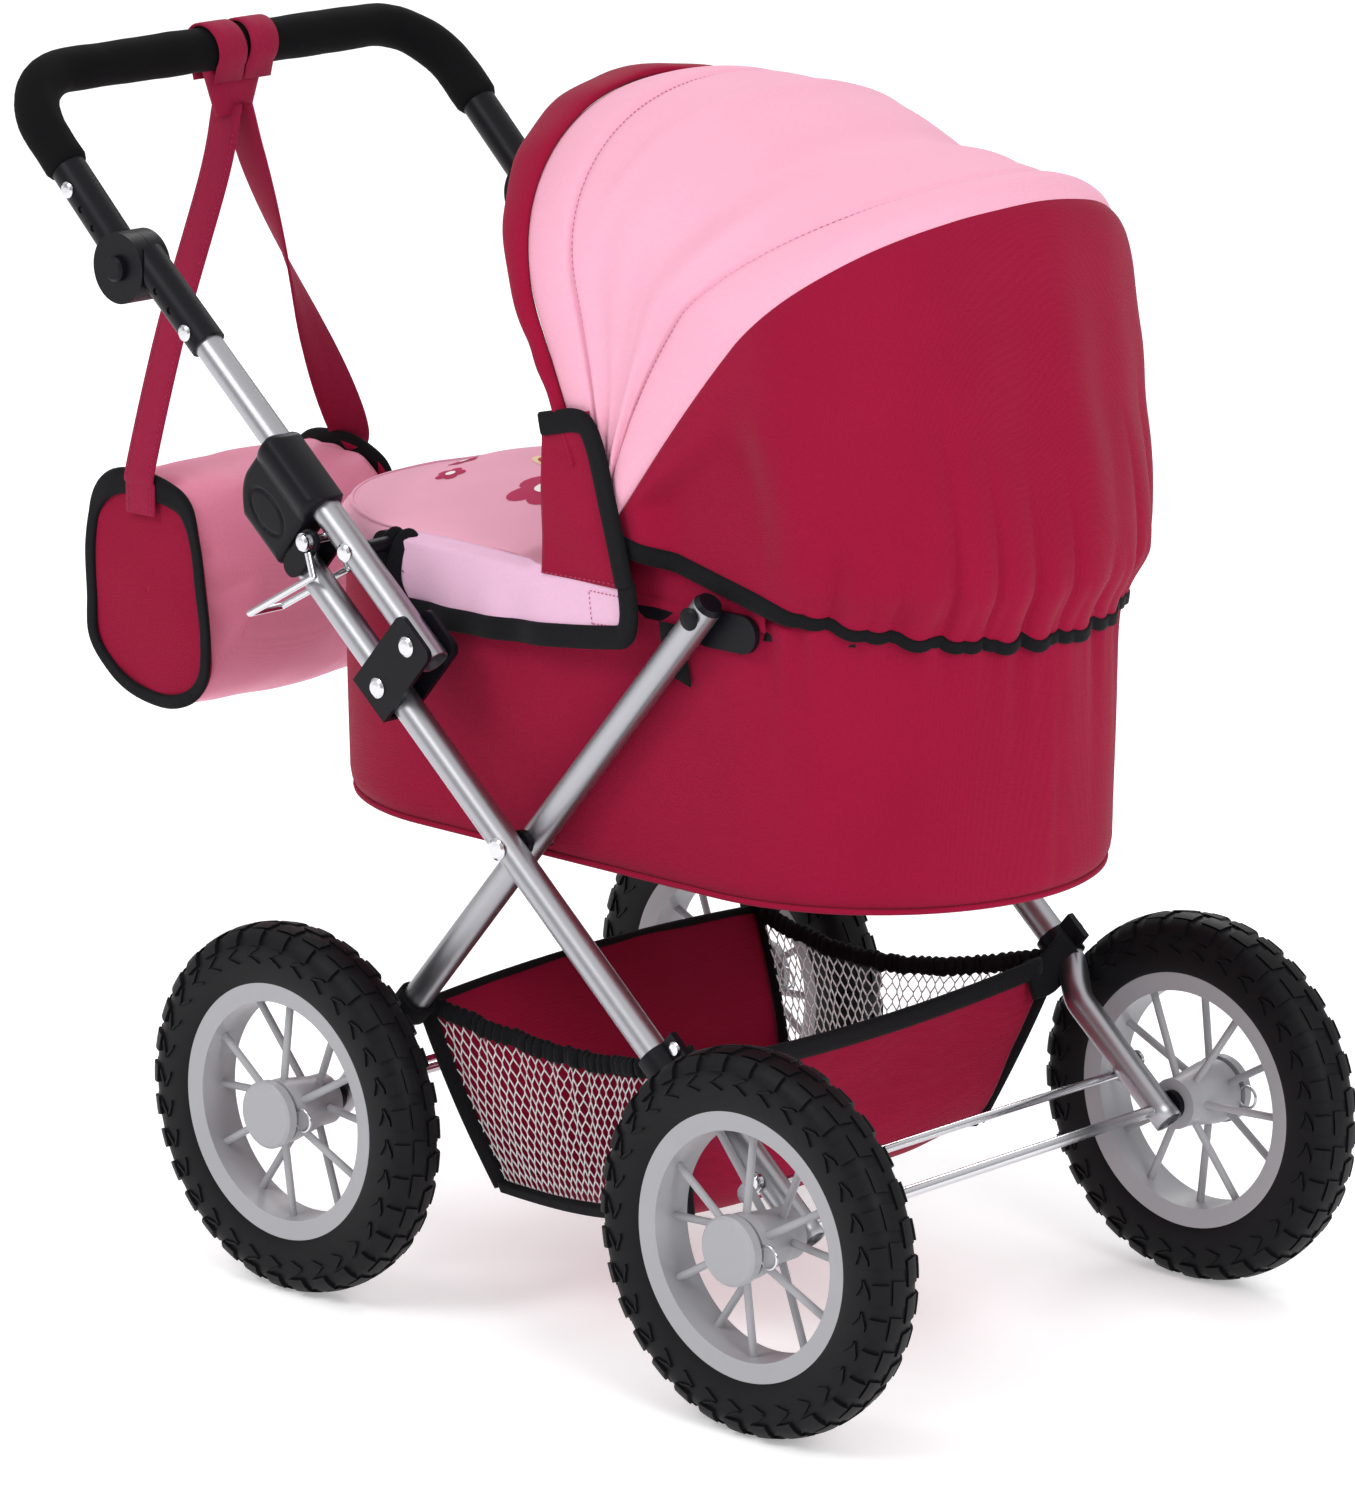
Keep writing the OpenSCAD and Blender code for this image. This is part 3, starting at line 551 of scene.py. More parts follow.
def main_tube(side_name, side):
    """One hollow tube with a soft inward bend above the front wheel."""
    x = np.concatenate([np.linspace(MAIN_TOP, 148, 12), np.linspace(152, 192, 24),
                        np.linspace(198, MAIN_LOW, 9)])
    y = MAIN_Y + (LEG_Y - MAIN_Y) * ease((x - 154) / 32)
    path = in_chassis(x, side * y, 0)
    outer = swept(path, round_section(8, 32), (0, side, 0))
    bore = swept(path[::-1], round_section(6.8, 32)[::-1], (0, side, 0))
    p = np.concatenate([outer, bore])
    obj = closed_sweep(f"main_tube_smooth_{side_name}", p, "tube_silver")
    rides(obj, "frame", "tube_silver", f"main_tube_{side_name}")


# ---- tyres ----

TYRE_R = 102.0
WHEELS = (("front", 263.0), ("rear", -77.0))
WHEEL_Y = 176.0
TREAD_COUNT = 32


def tyre_profile(s):
    """(radius, width, outward radius, outward width) at s = -1..1 across the tyre, bead to bead."""
    table = np.array([(67.5, -11), (70.5, -13.2), (74.5, -14.4), (80, -15.1), (86, -15.2), (91.5, -14.6),
                      (96, -12.4), (99, -8.6), (100.3, -4.2), (100.6, 0)])
    full = np.concatenate([table, table[-2::-1] * (1, -1)])
    curve = spline(np.c_[full, np.zeros(len(full))], 161)[:, :2]
    t = np.gradient(curve, axis=0)
    t /= np.linalg.norm(t, axis=1, keepdims=True)
    at = (np.asarray(s, float) + 1) / 2 * 160
    index = np.arange(161)
    point = [np.interp(at, index, curve[:, k]) for k in range(2)]
    out = [np.interp(at, index, -t[:, 1]), np.interp(at, index, t[:, 0])]
    return point[0], point[1], -out[0], -out[1]


def on_tyre(angle, s, lift):
    """Points of a tyre about the y axis: angle in turns of one tread pitch, s across, lift outwards."""
    r, w, out_r, out_w = tyre_profile(s)
    turn = np.asarray(angle, float) * 2 * math.pi / TREAD_COUNT
    radius = r + lift * out_r
    return column(radius * np.cos(turn), w + lift * out_w, radius * np.sin(turn))


def block(a, s, lift, sink=0.5):
    """A raised block: grids a and s, flat on top, with sides down into the tyre."""
    n, m = a.shape
    top = on_tyre(a, s, lift)
    foot = on_tyre(a, s, -sink)
    edge = [(0, j) for j in range(m)] + [(i, m - 1) for i in range(1, n)]
    edge += [(n - 1, j) for j in range(m - 2, -1, -1)] + [(i, 0) for i in range(n - 2, 0, -1)]
    points = np.concatenate([top.reshape(-1, 3), np.array([foot[i, j] for i, j in edge])])
    faces = grid_faces(n, m, False)
    for k in range(len(edge)):
        i, j = edge[k]
        i2, j2 = edge[(k + 1) % len(edge)]
        faces.append((i2 * m + j2, i * m + j, n * m + k, n * m + (k + 1) % len(edge)))
    return points, faces


def slab(a0, a1, s0, s1, lift, skew=0.0):
    s, a = np.meshgrid(np.linspace(s0, s1, 5), np.linspace(a0, a1, 4), indexing="ij")
    return block(a + skew * (s - (s0 + s1) / 2), s, lift)


def tyre_mesh():
    """The tyre about its own middle: body, shoulder blocks, a middle row and sidewall chevrons."""
    s, a = np.meshgrid(np.linspace(-1, 1, 41), np.arange(0, TREAD_COUNT * 4) / 4, indexing="ij")
    body = on_tyre(a, s, 0)
    points = [body.reshape(-1, 3)]
    faces = grid_faces(41, TREAD_COUNT * 4, True)
    base = TREAD_COUNT * 4 * 41

    def add(made):
        nonlocal base
        points.append(made[0])
        faces.extend([tuple(base + i for i in f) for f in made[1]])
        base += len(made[0])

    for i in range(TREAD_COUNT):
        for side in (-1, 1):
            offset = i + (0.5 if side > 0 else 0)
            add(slab(offset + 0.05, offset + 0.6, side * 0.44, side * 0.25, 1.9))
            add(slab(offset - 0.02, offset + 0.66, side * 0.21, side * 0.03, 1.3, side * 0.4))
            for arm in (-1, 1):
                across, along = np.meshgrid([-0.075, 0.075], np.linspace(0, 1, 4), indexing="ij")
                angle = offset + 0.62 - 0.42 * along + across
                add(block(angle, side * (0.55 + arm * (0.008 + 0.07 * along)), 1.1))
    return np.concatenate(points), faces


def tyres():
    points, faces = tyre_mesh()
    for end, x in WHEELS:
        for side_name, side in SIDES:
            placed = points * (1, side, 1) + (x, side * WHEEL_Y, TYRE_R)
            turned = faces if side < 0 else [f[::-1] for f in faces]
            obj = make(f"tyre_tread_{end}_{side_name}", placed, turned, "tyre_rubber")
            obj.data.set_sharp_from_angle(angle=math.radians(38))
            rides(obj, f"wheel_{end}_{side_name}", "tyre_rubber", f"tyre_{end}_{side_name}")


# ---- lock housings ----

def lock_housing(side_name, side):
    """A thick plate, half-round over the post, with a slanted upper end and an engraved oval."""
    n, m = 64, 72
    v, u = grid(n, m)
    z = -9 + 53 * v
    slant = 15 * np.clip(1 - v / 0.42, 0, 1) ** 2 + 5 * np.clip((v - 0.9) / 0.1, 0, 1) ** 2
    x = (-255 + slant) + (49 - slant) * u
    corner = np.minimum(np.minimum(x + 255 - slant, -206 - x), np.minimum(z + 9, 44 - z))
    rounding = np.sqrt(np.clip(1 - (1 - np.clip(corner / 5, 0, 1)) ** 2, 0, 1))
    over_post = np.sqrt(np.clip(13.6 ** 2 - (z - 34) ** 2, 0, None)) + 1.0
    plate = 10.6 + 0.6 * np.sin(v * math.pi)
    height = np.maximum(plate, over_post) * (0.62 + 0.38 * rounding)
    oval = np.sqrt(((x + 229) / 15) ** 2 + ((z - 8) / 8.5) ** 2)
    height -= 1.0 * bell(oval, 1, 0.07)
    inner = -np.maximum(9.4, np.sqrt(np.clip(12.4 ** 2 - (z - 34) ** 2, 0, None))) * (0.62 + 0.38 * rounding)
    front = in_chassis(x, side * (MAIN_Y + height), z).reshape(-1, 3)
    back = in_chassis(x, side * (MAIN_Y + inner), z).reshape(-1, 3)
    faces = two_grids(n, m) + row_walls(n, m, False) + column_walls(n, m)
    if side < 0:
        faces = [f[::-1] for f in faces]
    obj = make(f"lock_shell_{side_name}", np.concatenate([front, back]), faces, "plastic_black")
    obj.data.set_sharp_from_angle(angle=math.radians(50))
    rides(obj, f"lock_{side_name}", "plastic_black", f"lock_housing_{side_name}")


# ---- foam grip ----

HINGE = (-216.3, 541.8)
ARM_RISE = math.radians(43.6)
BAR_REACH = 133.0


def up_arm(distance, y):
    d = np.asarray(distance, float)
    return column(HINGE[0] - d * math.cos(ARM_RISE), y, HINGE[1] + d * math.sin(ARM_RISE))


BAR = up_arm(BAR_REACH, 0.0)


def foam_grip():
    a = np.linspace(0, math.pi / 2, 12)
    bend = 42.0
    reach = np.concatenate([np.linspace(69.4, BAR_REACH - bend - 1, 8), BAR_REACH - bend + bend * np.sin(a)])
    y = np.concatenate([np.full(8, MAIN_Y), MAIN_Y - bend + bend * np.cos(a)])
    half = up_arm(reach, y)
    middle = up_arm(BAR_REACH, np.linspace(MAIN_Y - bend - 4, -(MAIN_Y - bend - 4), 40))
    path = resample(np.concatenate([half, middle, half[::-1] * (1, -1, 1)]), 3)
    s = np.arange(len(path)) * 3.0
    end = np.minimum(s, s[-1] - s)
    radius = 12.4 * (0.90 + 0.10 * np.sqrt(np.clip(1 - (1 - np.clip(end / 3, 0, 1)) ** 2, 0, 1)))
    radius += 0.18 * np.sin(s / 17) + 0.1 * np.sin(s / 5.3)
    p = swept(path, round_section(1, 28)[None] * radius[:, None, None], frames_along(path))
    p += lumps(p, 9, 2)[..., None] * 0.18
    rides(rings("grip_sleeve", p, "foam_black"), "handle", "foam_black", "foam_grip")


# ---- tub and mattress ----

TUB_MID = 74.0
TUB_HALF = 233.5
RIM_Z = 404
TUB_R = 125.0
TUB_ARC = TUB_HALF - TUB_R


def stadium(count, inset):
    """Points and outward directions round the tub, counter-clockwise from the hood end's middle."""
    straight = 2 * TUB_ARC
    quarter = math.pi * TUB_R / 2
    total = 2 * straight + 4 * quarter
    s = np.linspace(0, total, count, endpoint=False)
    points = np.zeros((count, 2))
    out = np.zeros((count, 2))
    for k, d in enumerate(s):
        if d < quarter or d >= total - quarter:
            a = (d if d < quarter else d - total) / TUB_R
            centre = (TUB_MID + TUB_ARC, 0)
        elif d < quarter + straight:
            points[k] = TUB_MID + TUB_ARC - (d - quarter), TUB_R
            out[k] = 0, 1
            continue
        elif d < 3 * quarter + straight:
            a = (d - straight) / TUB_R
            centre = (TUB_MID - TUB_ARC, 0)
        else:
            points[k] = TUB_MID - TUB_ARC + (d - 3 * quarter - straight), -TUB_R
            out[k] = 0, -1
            continue
        out[k] = math.cos(a), math.sin(a)
        points[k] = centre[0] + TUB_R * out[k][0], centre[1] + TUB_R * out[k][1]
    inset = np.asarray(inset, float)
    return points - out * inset[..., None], out, s


def tub_rows(profile, count):
    """A loft round the tub: profile rows are (inset, z); rows deeper than the end radius are scaled in."""
    p = np.zeros((len(profile), count, 3))
    for i, (inset, z) in enumerate(profile):
        p[i, :, :2] = stadium(count, min(inset, TUB_R - 1))[0]
        p[i, :, 2] = z
    return p


COUNT_ROUND = 360


def tub_cloth():
    wall_z = np.linspace(270, RIM_Z, 30)
    outer = [(60, 257.4), (30, 257.2), (12, 257.4), (6.5, 258.3), (2.6, 261), (0.6, 265)]
    outer += [(-0.2 - 0.8 * math.sin((z - 270) / 134 * math.pi), z) for z in wall_z]
    outer += [(-0.6, 407), (1.2, 409.4), (4.6, 409.4), (7.2, 406.5)]
    inner = [(8.4, z) for z in np.linspace(400, 272, 14)]
    inner += [(9.5, 265), (13, 262.4), (30, 261.8), (60, 261.6)]
    profile = outer + inner
    p = tub_rows(profile, COUNT_ROUND)
    xy, out, s = stadium(COUNT_ROUND, 0)
    rows = np.array([z for _, z in profile])[:, None]
    inset = np.array([i for i, _ in profile])[:, None]
    wall = ((inset < 3) & (rows > 262)).astype(float)
    below = np.clip(RIM_Z - rows, 0, None)
    at_hood = ease((xy[:, 0] - 178) / 60)[None]
    gather = np.sin(s / 3.6 + 1.3 * np.sin(s / 21)) + 0.6 * np.sin(s / 2.3 + 2)
    high = np.exp(-below / 34)
    calm = np.sin(s / 27 + rows / 60) + 0.7 * np.sin(s / 12.5 - rows / 35)
    swell = wall * (at_hood * high * gather[None] * 1.5 + 0.55 * calm * (0.4 + 0.6 * at_hood))
    crease = wall * at_hood * 1.6 * np.sin(s / 9.5 + 1.5 * np.sin(s / 33))[None] * np.exp(-below / 80)
    over_rim = wall * 3.2 * ease((xy[:, 0] - 198) / 40)[None] * np.exp(-below / 9)
    p[..., :2] += out[None] * (swell + crease + over_rim)[..., None]
    obj = closed_floor(p)
    rides(obj, "cot", "fabric_bordeaux", "cot_tub")
    folds_down(obj)
    edge, out, s = stadium(COUNT_ROUND, 3.2)
    path = column(edge[:, 0], edge[:, 1], 258.6)
    piping = closed_sweep("tub_piping", swept(path, round_section(1.7, 10), (0, 0, 1), True),
                          "fabric_bordeaux")
    rides(piping, "cot", "fabric_bordeaux")
    folds_down(piping)


def closed_floor(p):
    """The tub's loft with its outside and inside floor panels closed across."""
    n, m = p.shape[:2]
    faces = grid_faces(n, m, True, flip=True)
    half = m // 2
    for row, turn in ((0, False), (n - 1, True)):
        ring = [row * m + j for j in range(m)]
        for j in range(half):
            quad = (ring[j], ring[(j + 1) % m], ring[m - j - 1], ring[(m - j) % m])
            quad = tuple(dict.fromkeys(quad))
            if len(quad) > 2:
                faces.append(quad if turn else quad[::-1])
    return make("tub_cloth", p, faces, "fabric_bordeaux")


def mattress():
    """A soft pad with a rolled edge and two rows of quilting dips, over its board."""
    profile = [(60, 261.9), (20, 262), (14, 263.5), (11.4, 268), (10.8, 275), (12.2, 281), (16, 285.6),
               (23, 288.6)]
    profile += [(34, 290), (48, 290.6), (62, 290.8), (80, 290.8), (100, 290.8), (118, 290.8)]
    p = tub_rows(profile, 240)
    top = p[..., 2] > 284
    quilt = np.cos(p[..., 0] / 14.5) * np.cos(p[..., 1] / 14.5)
    p[..., 2] += np.where(top, 1.1 * quilt + 0.7 * lumps(p, 60, 3), 0)
    obj = rings("mattress_pad", p, "fabric_pink")
    rides(obj, "cot", "fabric_pink", "mattress", "base_board")
    folds_down(obj)


# ---- hood ----

HOOD_X = 118.0
HOOD_Z = 440.0
HOOD_HALF = 136.0
CROWN = ((-16, 200), (-3, 207), (8, 203), (21, 200), (36, 216), (44, 236), (49, 243), (56, 226), (64, 212),
         (73, 204), (91, 217), (103, 226), (113, 231), (121, 240))
STRAIGHT = ((-16, 68), (0, 76), (22, 108), (47, 146), (60, 136), (75, 130), (103, 128), (121, 112))
LEG = 0.2
HOOD_START = 9.0


def smooth_lookup(table, a):
    keys, values = zip(*table)
    return sum(np.interp(a + d, keys, values) for d in (-3, -1.5, 0, 1.5, 3)) / 5


def crownness(t):
    """0 down the straight sides of the hood, 1 at its top."""
    return np.sin(math.pi * np.clip((t - LEG) / (1 - 2 * LEG), 0, 1))


def hood_point(a, t, lift, start, half=HOOD_HALF):
    """A point of the hood, moved outwards by lift.

    a is the angle of its plane in degrees, and t goes from 0 at the left over the top to 1.
    """
    side = smooth_lookup(STRAIGHT, a)
    k = crownness(t)
    t_leg = np.clip(np.minimum(t, 1 - t) / LEG, 0, 1)
    r = np.where(t_leg < 1, start + (side - start) * t_leg,
                 side + (smooth_lookup(CROWN, a) + lift - side) * k)
    swing = np.cos(math.pi * np.clip((t - LEG) / (1 - 2 * LEG), 0, 1))
    y = (half + lift) * swing
    turn = np.radians(a)
    return column(HOOD_X + r * np.cos(turn), y, HOOD_Z + r * np.sin(turn))


# Angle of each seam's plane where it leaves the pivot, and at the crown.
SEAM_BETWEEN = (54.0, 47.8)
SEAM_BACK = (84.0, 53.2)
SEAM_FORE = (91.0, 103.0)


def seam(ends, t, curve):
    """Angle of a seam's plane by t; a higher curve gets to the crown's angle sooner."""
    low, high = ends
    return high + (low - high) * np.abs(1 - 2 * t) ** curve


PINK_EDGE = 113.5
SEAM_REAR = 0.2
SEAM_FRONT = 0.78


def seam_between(t):
    """Angle of the line where the pink and the bordeaux meet."""
    low, high = SEAM_BETWEEN
    return high + (low - high) * (0.5 + 0.5 * np.cos(2 * math.pi * t))


def pink_angle(u, t):
    stops = (seam_between(t), seam(SEAM_BACK, t, 1.6), seam(SEAM_FORE, t, 2.7), PINK_EDGE + 0 * t)
    at = (0, SEAM_REAR, SEAM_FRONT, 1)
    a = np.zeros(np.broadcast(u, t).shape)
    for k in range(3):
        share = np.clip((u - at[k]) / (at[k + 1] - at[k]), 0, 1)
        inside = (u >= at[k]) & (u <= at[k + 1])
        a = np.where(inside, stops[k] + (stops[k + 1] - stops[k]) * share, a)
    return a


def pink_lift(u, t):
    k = crownness(t)
    low = 1 - k
    channel = 2.6 * np.sin(math.pi * np.clip(u / SEAM_REAR, 0, 1)) ** 0.7
    border = 2.2 * np.sin(math.pi * np.clip((u - SEAM_FRONT) / (1 - SEAM_FRONT), 0, 1)) ** 0.7
    middle = np.clip((u - SEAM_REAR) / (SEAM_FRONT - SEAM_REAR), 0, 1)
    window = np.sin(math.pi * middle) ** 0.6
    folds = 1.9 * np.sin(9.5 * middle + 1.2 * np.sin(5 * t)) * (0.3 + 0.7 * low)
    folds += 1.5 * np.sin(17 * middle + 3.5 * t + 1) * (0.2 + 0.8 * low)
    dip = 4.2 * bell(middle, 0.13 + 0.1 * k, 0.06) * (0.3 + 0.7 * np.sin(math.pi * k))
    dip -= 2.6 * bell(middle, 0.3 + 0.1 * k, 0.08)
    dip += 3.2 * bell(middle, 0.86 - 0.12 * k, 0.05) * ease(k / 0.8)
    grooves = -2.4 * (bell(u, SEAM_REAR, 0.014) + bell(u, SEAM_FRONT, 0.014))
    return channel + border + window * (folds + dip) + grooves


def hood_pink():
    u, t = grid(150, 200)
    tucked = bell(u, 0, 0.015)
    p = hood_point(pink_angle(u, t) - 1.1 * tucked, t, pink_lift(u, t) - 1.8 * tucked, HOOD_START)
    p += normals_of(p) * (lumps(p, 48, 5) * 1.3 * np.sin(math.pi * u))[..., None]
    obj = shell("hood_pink_cloth", p, 1.3, "fabric_pink", out=p - (HOOD_X, 0, HOOD_Z))
    pieces = [obj]
    line = np.linspace(0.1, 0.9, 260)
    for name, at in (("rear", SEAM_REAR), ("front", SEAM_FRONT)):
        path = hood_point(pink_angle(at, line), line, pink_lift(at, line) + 0.5, HOOD_START)
        pieces.append(stitches(f"hood_stitching_{name}", path, "thread_pink"))
    return pieces


def rear_angle(u, t):
    return seam_between(t) + (-13.6 - seam_between(t)) * u


def hood_rear_surface(u, t):
    k = crownness(t)
    back = ease((k - 0.25) / 0.3)
    arc = t * 640
    pleat = np.abs(np.sin(arc / 8.4 + 0.9 * np.sin(arc / 29))) ** 0.55 - 0.62
    small = np.abs(np.sin(arc / 5.1 + 1.2)) ** 0.7 - 0.6
    reach = 0.5 + 0.16 * np.sin(arc / 23 + 1) + 0.1 * np.sin(arc / 9.1)
    deep = np.clip((u - reach) / (1 - reach), 0, 1) ** 1.25
    gather = 1.5 * pleat + 0.7 * small * np.clip((u - 0.75) / 0.25, 0, 1)
    lift = back * deep * gather * 6.0
    broad = np.sin(arc / 15 + 0.6 * np.sin(arc / 50)) + 0.6 * np.sin(arc / 8.3 + 2.1)
    lift += 1.7 * broad * np.sin(math.pi * np.clip(u, 0, 1)) * (0.25 + 0.75 * back)
    lift -= 1.2 * bell(u, 0, 0.02)
    p = hood_point(rear_angle(u, t), t, lift, HOOD_START)
    radius = np.hypot(p[..., 0] - HOOD_X, p[..., 2] - HOOD_Z)
    inside_tube = ease((radius - 22) / 22) * (1 - ease((radius - 98) / 34)) * ease((u - 0.12) / 0.2)
    p[..., 1] += (np.clip(p[..., 1], -126.0, 126.0) - p[..., 1]) * inside_tube
    centre_x = TUB_MID + TUB_ARC
    away = np.stack([np.maximum(p[..., 0] - centre_x, 0), p[..., 1]], axis=-1)
    length = np.linalg.norm(away, axis=-1, keepdims=True) + 1e-6
    ripple = 2.2 * gather * back
    hem = away / length * (TUB_R + 4.5 + ripple)[..., None]
    over_arc = p[..., 0] > centre_x
    hem_x = np.minimum(p[..., 0], centre_x) + hem[..., 0] * over_arc
    hem_xy = np.stack([hem_x, hem[..., 1]], axis=-1)
    pull = ease((u - 0.84) / 0.16) * ease((p[..., 0] - 205) / 60)
    p[..., :2] += (hem_xy - p[..., :2]) * pull[..., None]
    p[..., 2] -= 1.6 * ease((u - 0.8) / 0.2) * gather * back
    return p


def hood_rear():
    u, t = grid(130, 420)
    p = hood_rear_surface(u, t)
    p += normals_of(p) * (lumps(p, 55, 8) * 1.2 * np.sin(math.pi * u))[..., None]
    outward = p - (HOOD_X, 0, HOOD_Z)
    cloth = shell("hood_bordeaux_cloth", p, 1.3, "fabric_bordeaux", out=outward)
    edge = p[-3]
    normal = normals_of(p)[-3]
    normal = np.where(((normal * outward[-3]).sum(-1) < 0)[:, None], -normal, normal)
    wide = 10 - 3.5 * ease((edge[:, 0] - 215) / 40)
    section = tape_section(1, 0.28)[None] * wide[:, None, None]
    hem = rings("hood_hem_binding", swept(edge + normal * 0.2, section, normal), "binding_black")
    return cloth, hem


def hood_visor():
    """The padded bordeaux band along the hood's front edge."""
    t = np.linspace(0, 1, 240)
    ring = np.linspace(0, 2 * math.pi, 22, endpoint=False)
    tt, rr = np.meshgrid(t, ring, indexing="ij")
    a = 116.4 + 4.1 * np.cos(rr) * (0.65 + 0.35 * crownness(tt))
    lift = 3.4 + 4.4 * np.sin(rr) + 0.5 * np.sin(tt * 90) * (np.sin(rr) > 0)
    return rings("hood_visor_band", hood_point(a, tt, lift, 40.0, HOOD_HALF - 2), "fabric_bordeaux")


def hood_gusset(side_name, side):
    """A small cloth corner that closes the gap between the tub's edge and the hood's hem by the pivot."""
    v, u = grid(14, 30)
    x = 106 + 112 * u
    top = np.interp(x, (106, 126, 152, 187, 218), (456, 450, 443, 435, 424))
    z = 403 + (top - 403) * v
    y = 123.6 + 0.5 * np.sin(x / 5 + z / 9)
    obj = shell(f"hood_gusset_{side_name}", column(x, side * y, z), 1.2, "fabric_bordeaux", out=(0, side, 0))
    rides(obj, "cot", "fabric_bordeaux")


def hood():
    for obj in hood_pink():
        if obj.name == "hood_pink_cloth":
            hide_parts("hood_front_fabric")
        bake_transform(obj)
    cloth, hem = hood_rear()
    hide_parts("hood_rear_fabric")
    for obj in (cloth, hem):
        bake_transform(obj)
    for side_name, side in SIDES:
        hood_gusset(side_name, side)
    band = rides(hood_visor(), "hood_front", "fabric_bordeaux")


# ---- cover, side flaps and patches ----

COVER_FRONT = 56.0
COVER_R = 130.5


def cover_height(e, x):
    """Height of the padded top at distance e from its edge."""
    roll = np.sqrt(np.clip(1 - (1 - np.clip(e / 13, 0, 1)) ** 2, 0, 1))
    crown = ease(e / 105)
    front = ease((COVER_FRONT - x) / 16)
    return RIM_Z + 13 * roll * (0.55 + 0.45 * front) + 20 * crown * (0.55 + 0.45 * front)


def cover_top():
    """The puffy top over the foot end: outline rows to a middle spine."""
    arc_x = TUB_MID - TUB_ARC
    a = np.linspace(math.pi / 2, 3 * math.pi / 2, 150)
    straight = np.linspace(COVER_FRONT, arc_x, 50)[:-1]
    outline = np.concatenate([column(straight, COVER_R, 0),
                              column(arc_x + COVER_R * np.cos(a), COVER_R * np.sin(a), 0),
                              column(straight[::-1], -COVER_R, 0)])
    spine = column(np.maximum(outline[:, 0], arc_x), 0, 0)
    k = np.concatenate([np.linspace(0, 0.1, 14), np.linspace(0.12, 1, 46)])[:, None, None]
    p = outline[None] * (1 - k) + spine[None] * k
    e = k[..., 0] * COVER_R
    z = cover_height(e, p[..., 0])
    puff = lumps(p, 70, 11) * 2.6 + lumps(p, 34, 12) * 1.3
    tug = np.exp(-e / 16) * (np.sin(outline[:, 0] / 6.5 + outline[:, 1] / 8.2) * 1.0)[None]
    p[..., 2] = z + (puff + tug) * ease(e / 22)
    bottom = p.copy()
    bottom[..., 2] = np.minimum(404.0 - 1.5 * ease(e / 8), p[..., 2] - 1)
    n, m = p.shape[:2]
    faces = two_grids(n, m) + column_walls(n, m)
    for j in range(m - 1):
        faces.append((j, j + 1, n * m + j + 1, n * m + j))
    obj = make("cover_top", np.concatenate([p.reshape(-1, 3), bottom.reshape(-1, 3)]), faces, "fabric_pink")
    rides(obj, "cot", "fabric_pink", "cover")
    rides(rings("cover_piping", swept(p[8] + (0, 0, 0.3), round_section(1.1, 8), (0, 0, 1)), "fabric_pink"),
          "cot", "fabric_pink")
    return obj


def decal(name, outlines, target, material):
    """Flat printed shapes laid on the cover: each outline is a closed list of (x, y)."""
    tree = BVHTree.FromObject(target, bpy.context.evaluated_depsgraph_get())
    points, faces = [], []
    for outline in outlines:
        outline = np.asarray(outline, float)
        centre = outline.mean(0)
        base = len(points)
        m = len(outline)
        rows = 5
        for r in range(rows):
            share = 1 - r / rows
            for q in outline:
                points.append(centre + (q - centre) * share)
        points.append(centre)
        for r in range(rows - 1):
            for j in range(m):
                k = (j + 1) % m
                faces.append((base + r * m + j, base + r * m + k, base + (r + 1) * m + k,
                              base + (r + 1) * m + j))
        for j in range(m):
            faces.append((base + (rows - 1) * m + j, base + (rows - 1) * m + (j + 1) % m, base + rows * m))
    lifted = []
    for x, y in points:
        hit = tree.ray_cast(Vector((x * MM, y * MM, 1.0)), Vector((0, 0, -1)))[0]
        lifted.append((x, y, (hit.z / MM if hit else 430) + 0.25))
    return rides(make(name, lifted, faces, material), "cot", "print_red")


def flower_petals(x, y, r, turn=0.0):
    """Five round petals."""
    petals = []
    for k in range(5):
        a = turn + k * 2 * math.pi / 5
        centre = (x + r * 0.62 * math.cos(a), y + r * 0.62 * math.sin(a))
        petals.append([(centre[0] + r * 0.46 * math.cos(b), centre[1] + r * 0.46 * math.sin(b))
                       for b in np.linspace(0, 2 * math.pi, 14, endpoint=False)])
    return petals


def disc(x, y, r):
    turns = np.linspace(0, 2 * math.pi, 16, endpoint=False)
    return [(x + r * math.cos(b), y + r * math.sin(b)) for b in turns]


def heart(x, y, size, turn):
    points = []
    for b in np.linspace(0, 2 * math.pi, 40, endpoint=False):
        hx = 16 * math.sin(b) ** 3
        hy = 13 * math.cos(b) - 5 * math.cos(2 * b) - 2 * math.cos(3 * b) - math.cos(4 * b)
        hx, hy = hx * size / 17, hy * size / 17
        points.append((x + hx * math.cos(turn) - hy * math.sin(turn),
                       y + hx * math.sin(turn) + hy * math.cos(turn)))
    return points


def cover_print(target):
    """A generic printed motif: two small flowers, a large one and hearts."""
    small = flower_petals(-98, -24, 8) + flower_petals(-84, -48, 8, 0.5)
    large = flower_petals(-6, -52, 21, 0.3)
    decal("print_flowers", small + large, target, "print_red")
    middles = decal("print_middles", [disc(-98, -24, 2.8), disc(-84, -48, 2.8), disc(-6, -52, 7.5)],
                    target, "print_white")
    decal("print_heart_edge", [heart(-44, -6, 17, 0.4), heart(28, -8, 13, 0.1)], target, "print_cream")
    lifted = decal("print_heart", [heart(-44, -6, 13, 0.4), heart(28, -8, 9.5, 0.1)], target, "print_red")
    for printed in (lifted, middles):
        for v in printed.data.vertices:
            v.co.z += 0.3 * MM


FLAP_REAR = -36.0
PATCH_LEFT = 76.0
PATCH_Y = 140.6


def flap_bottom(x):
    return np.interp(x, (-40, 35, 90, 142), (379, 381.5, 388, 395))


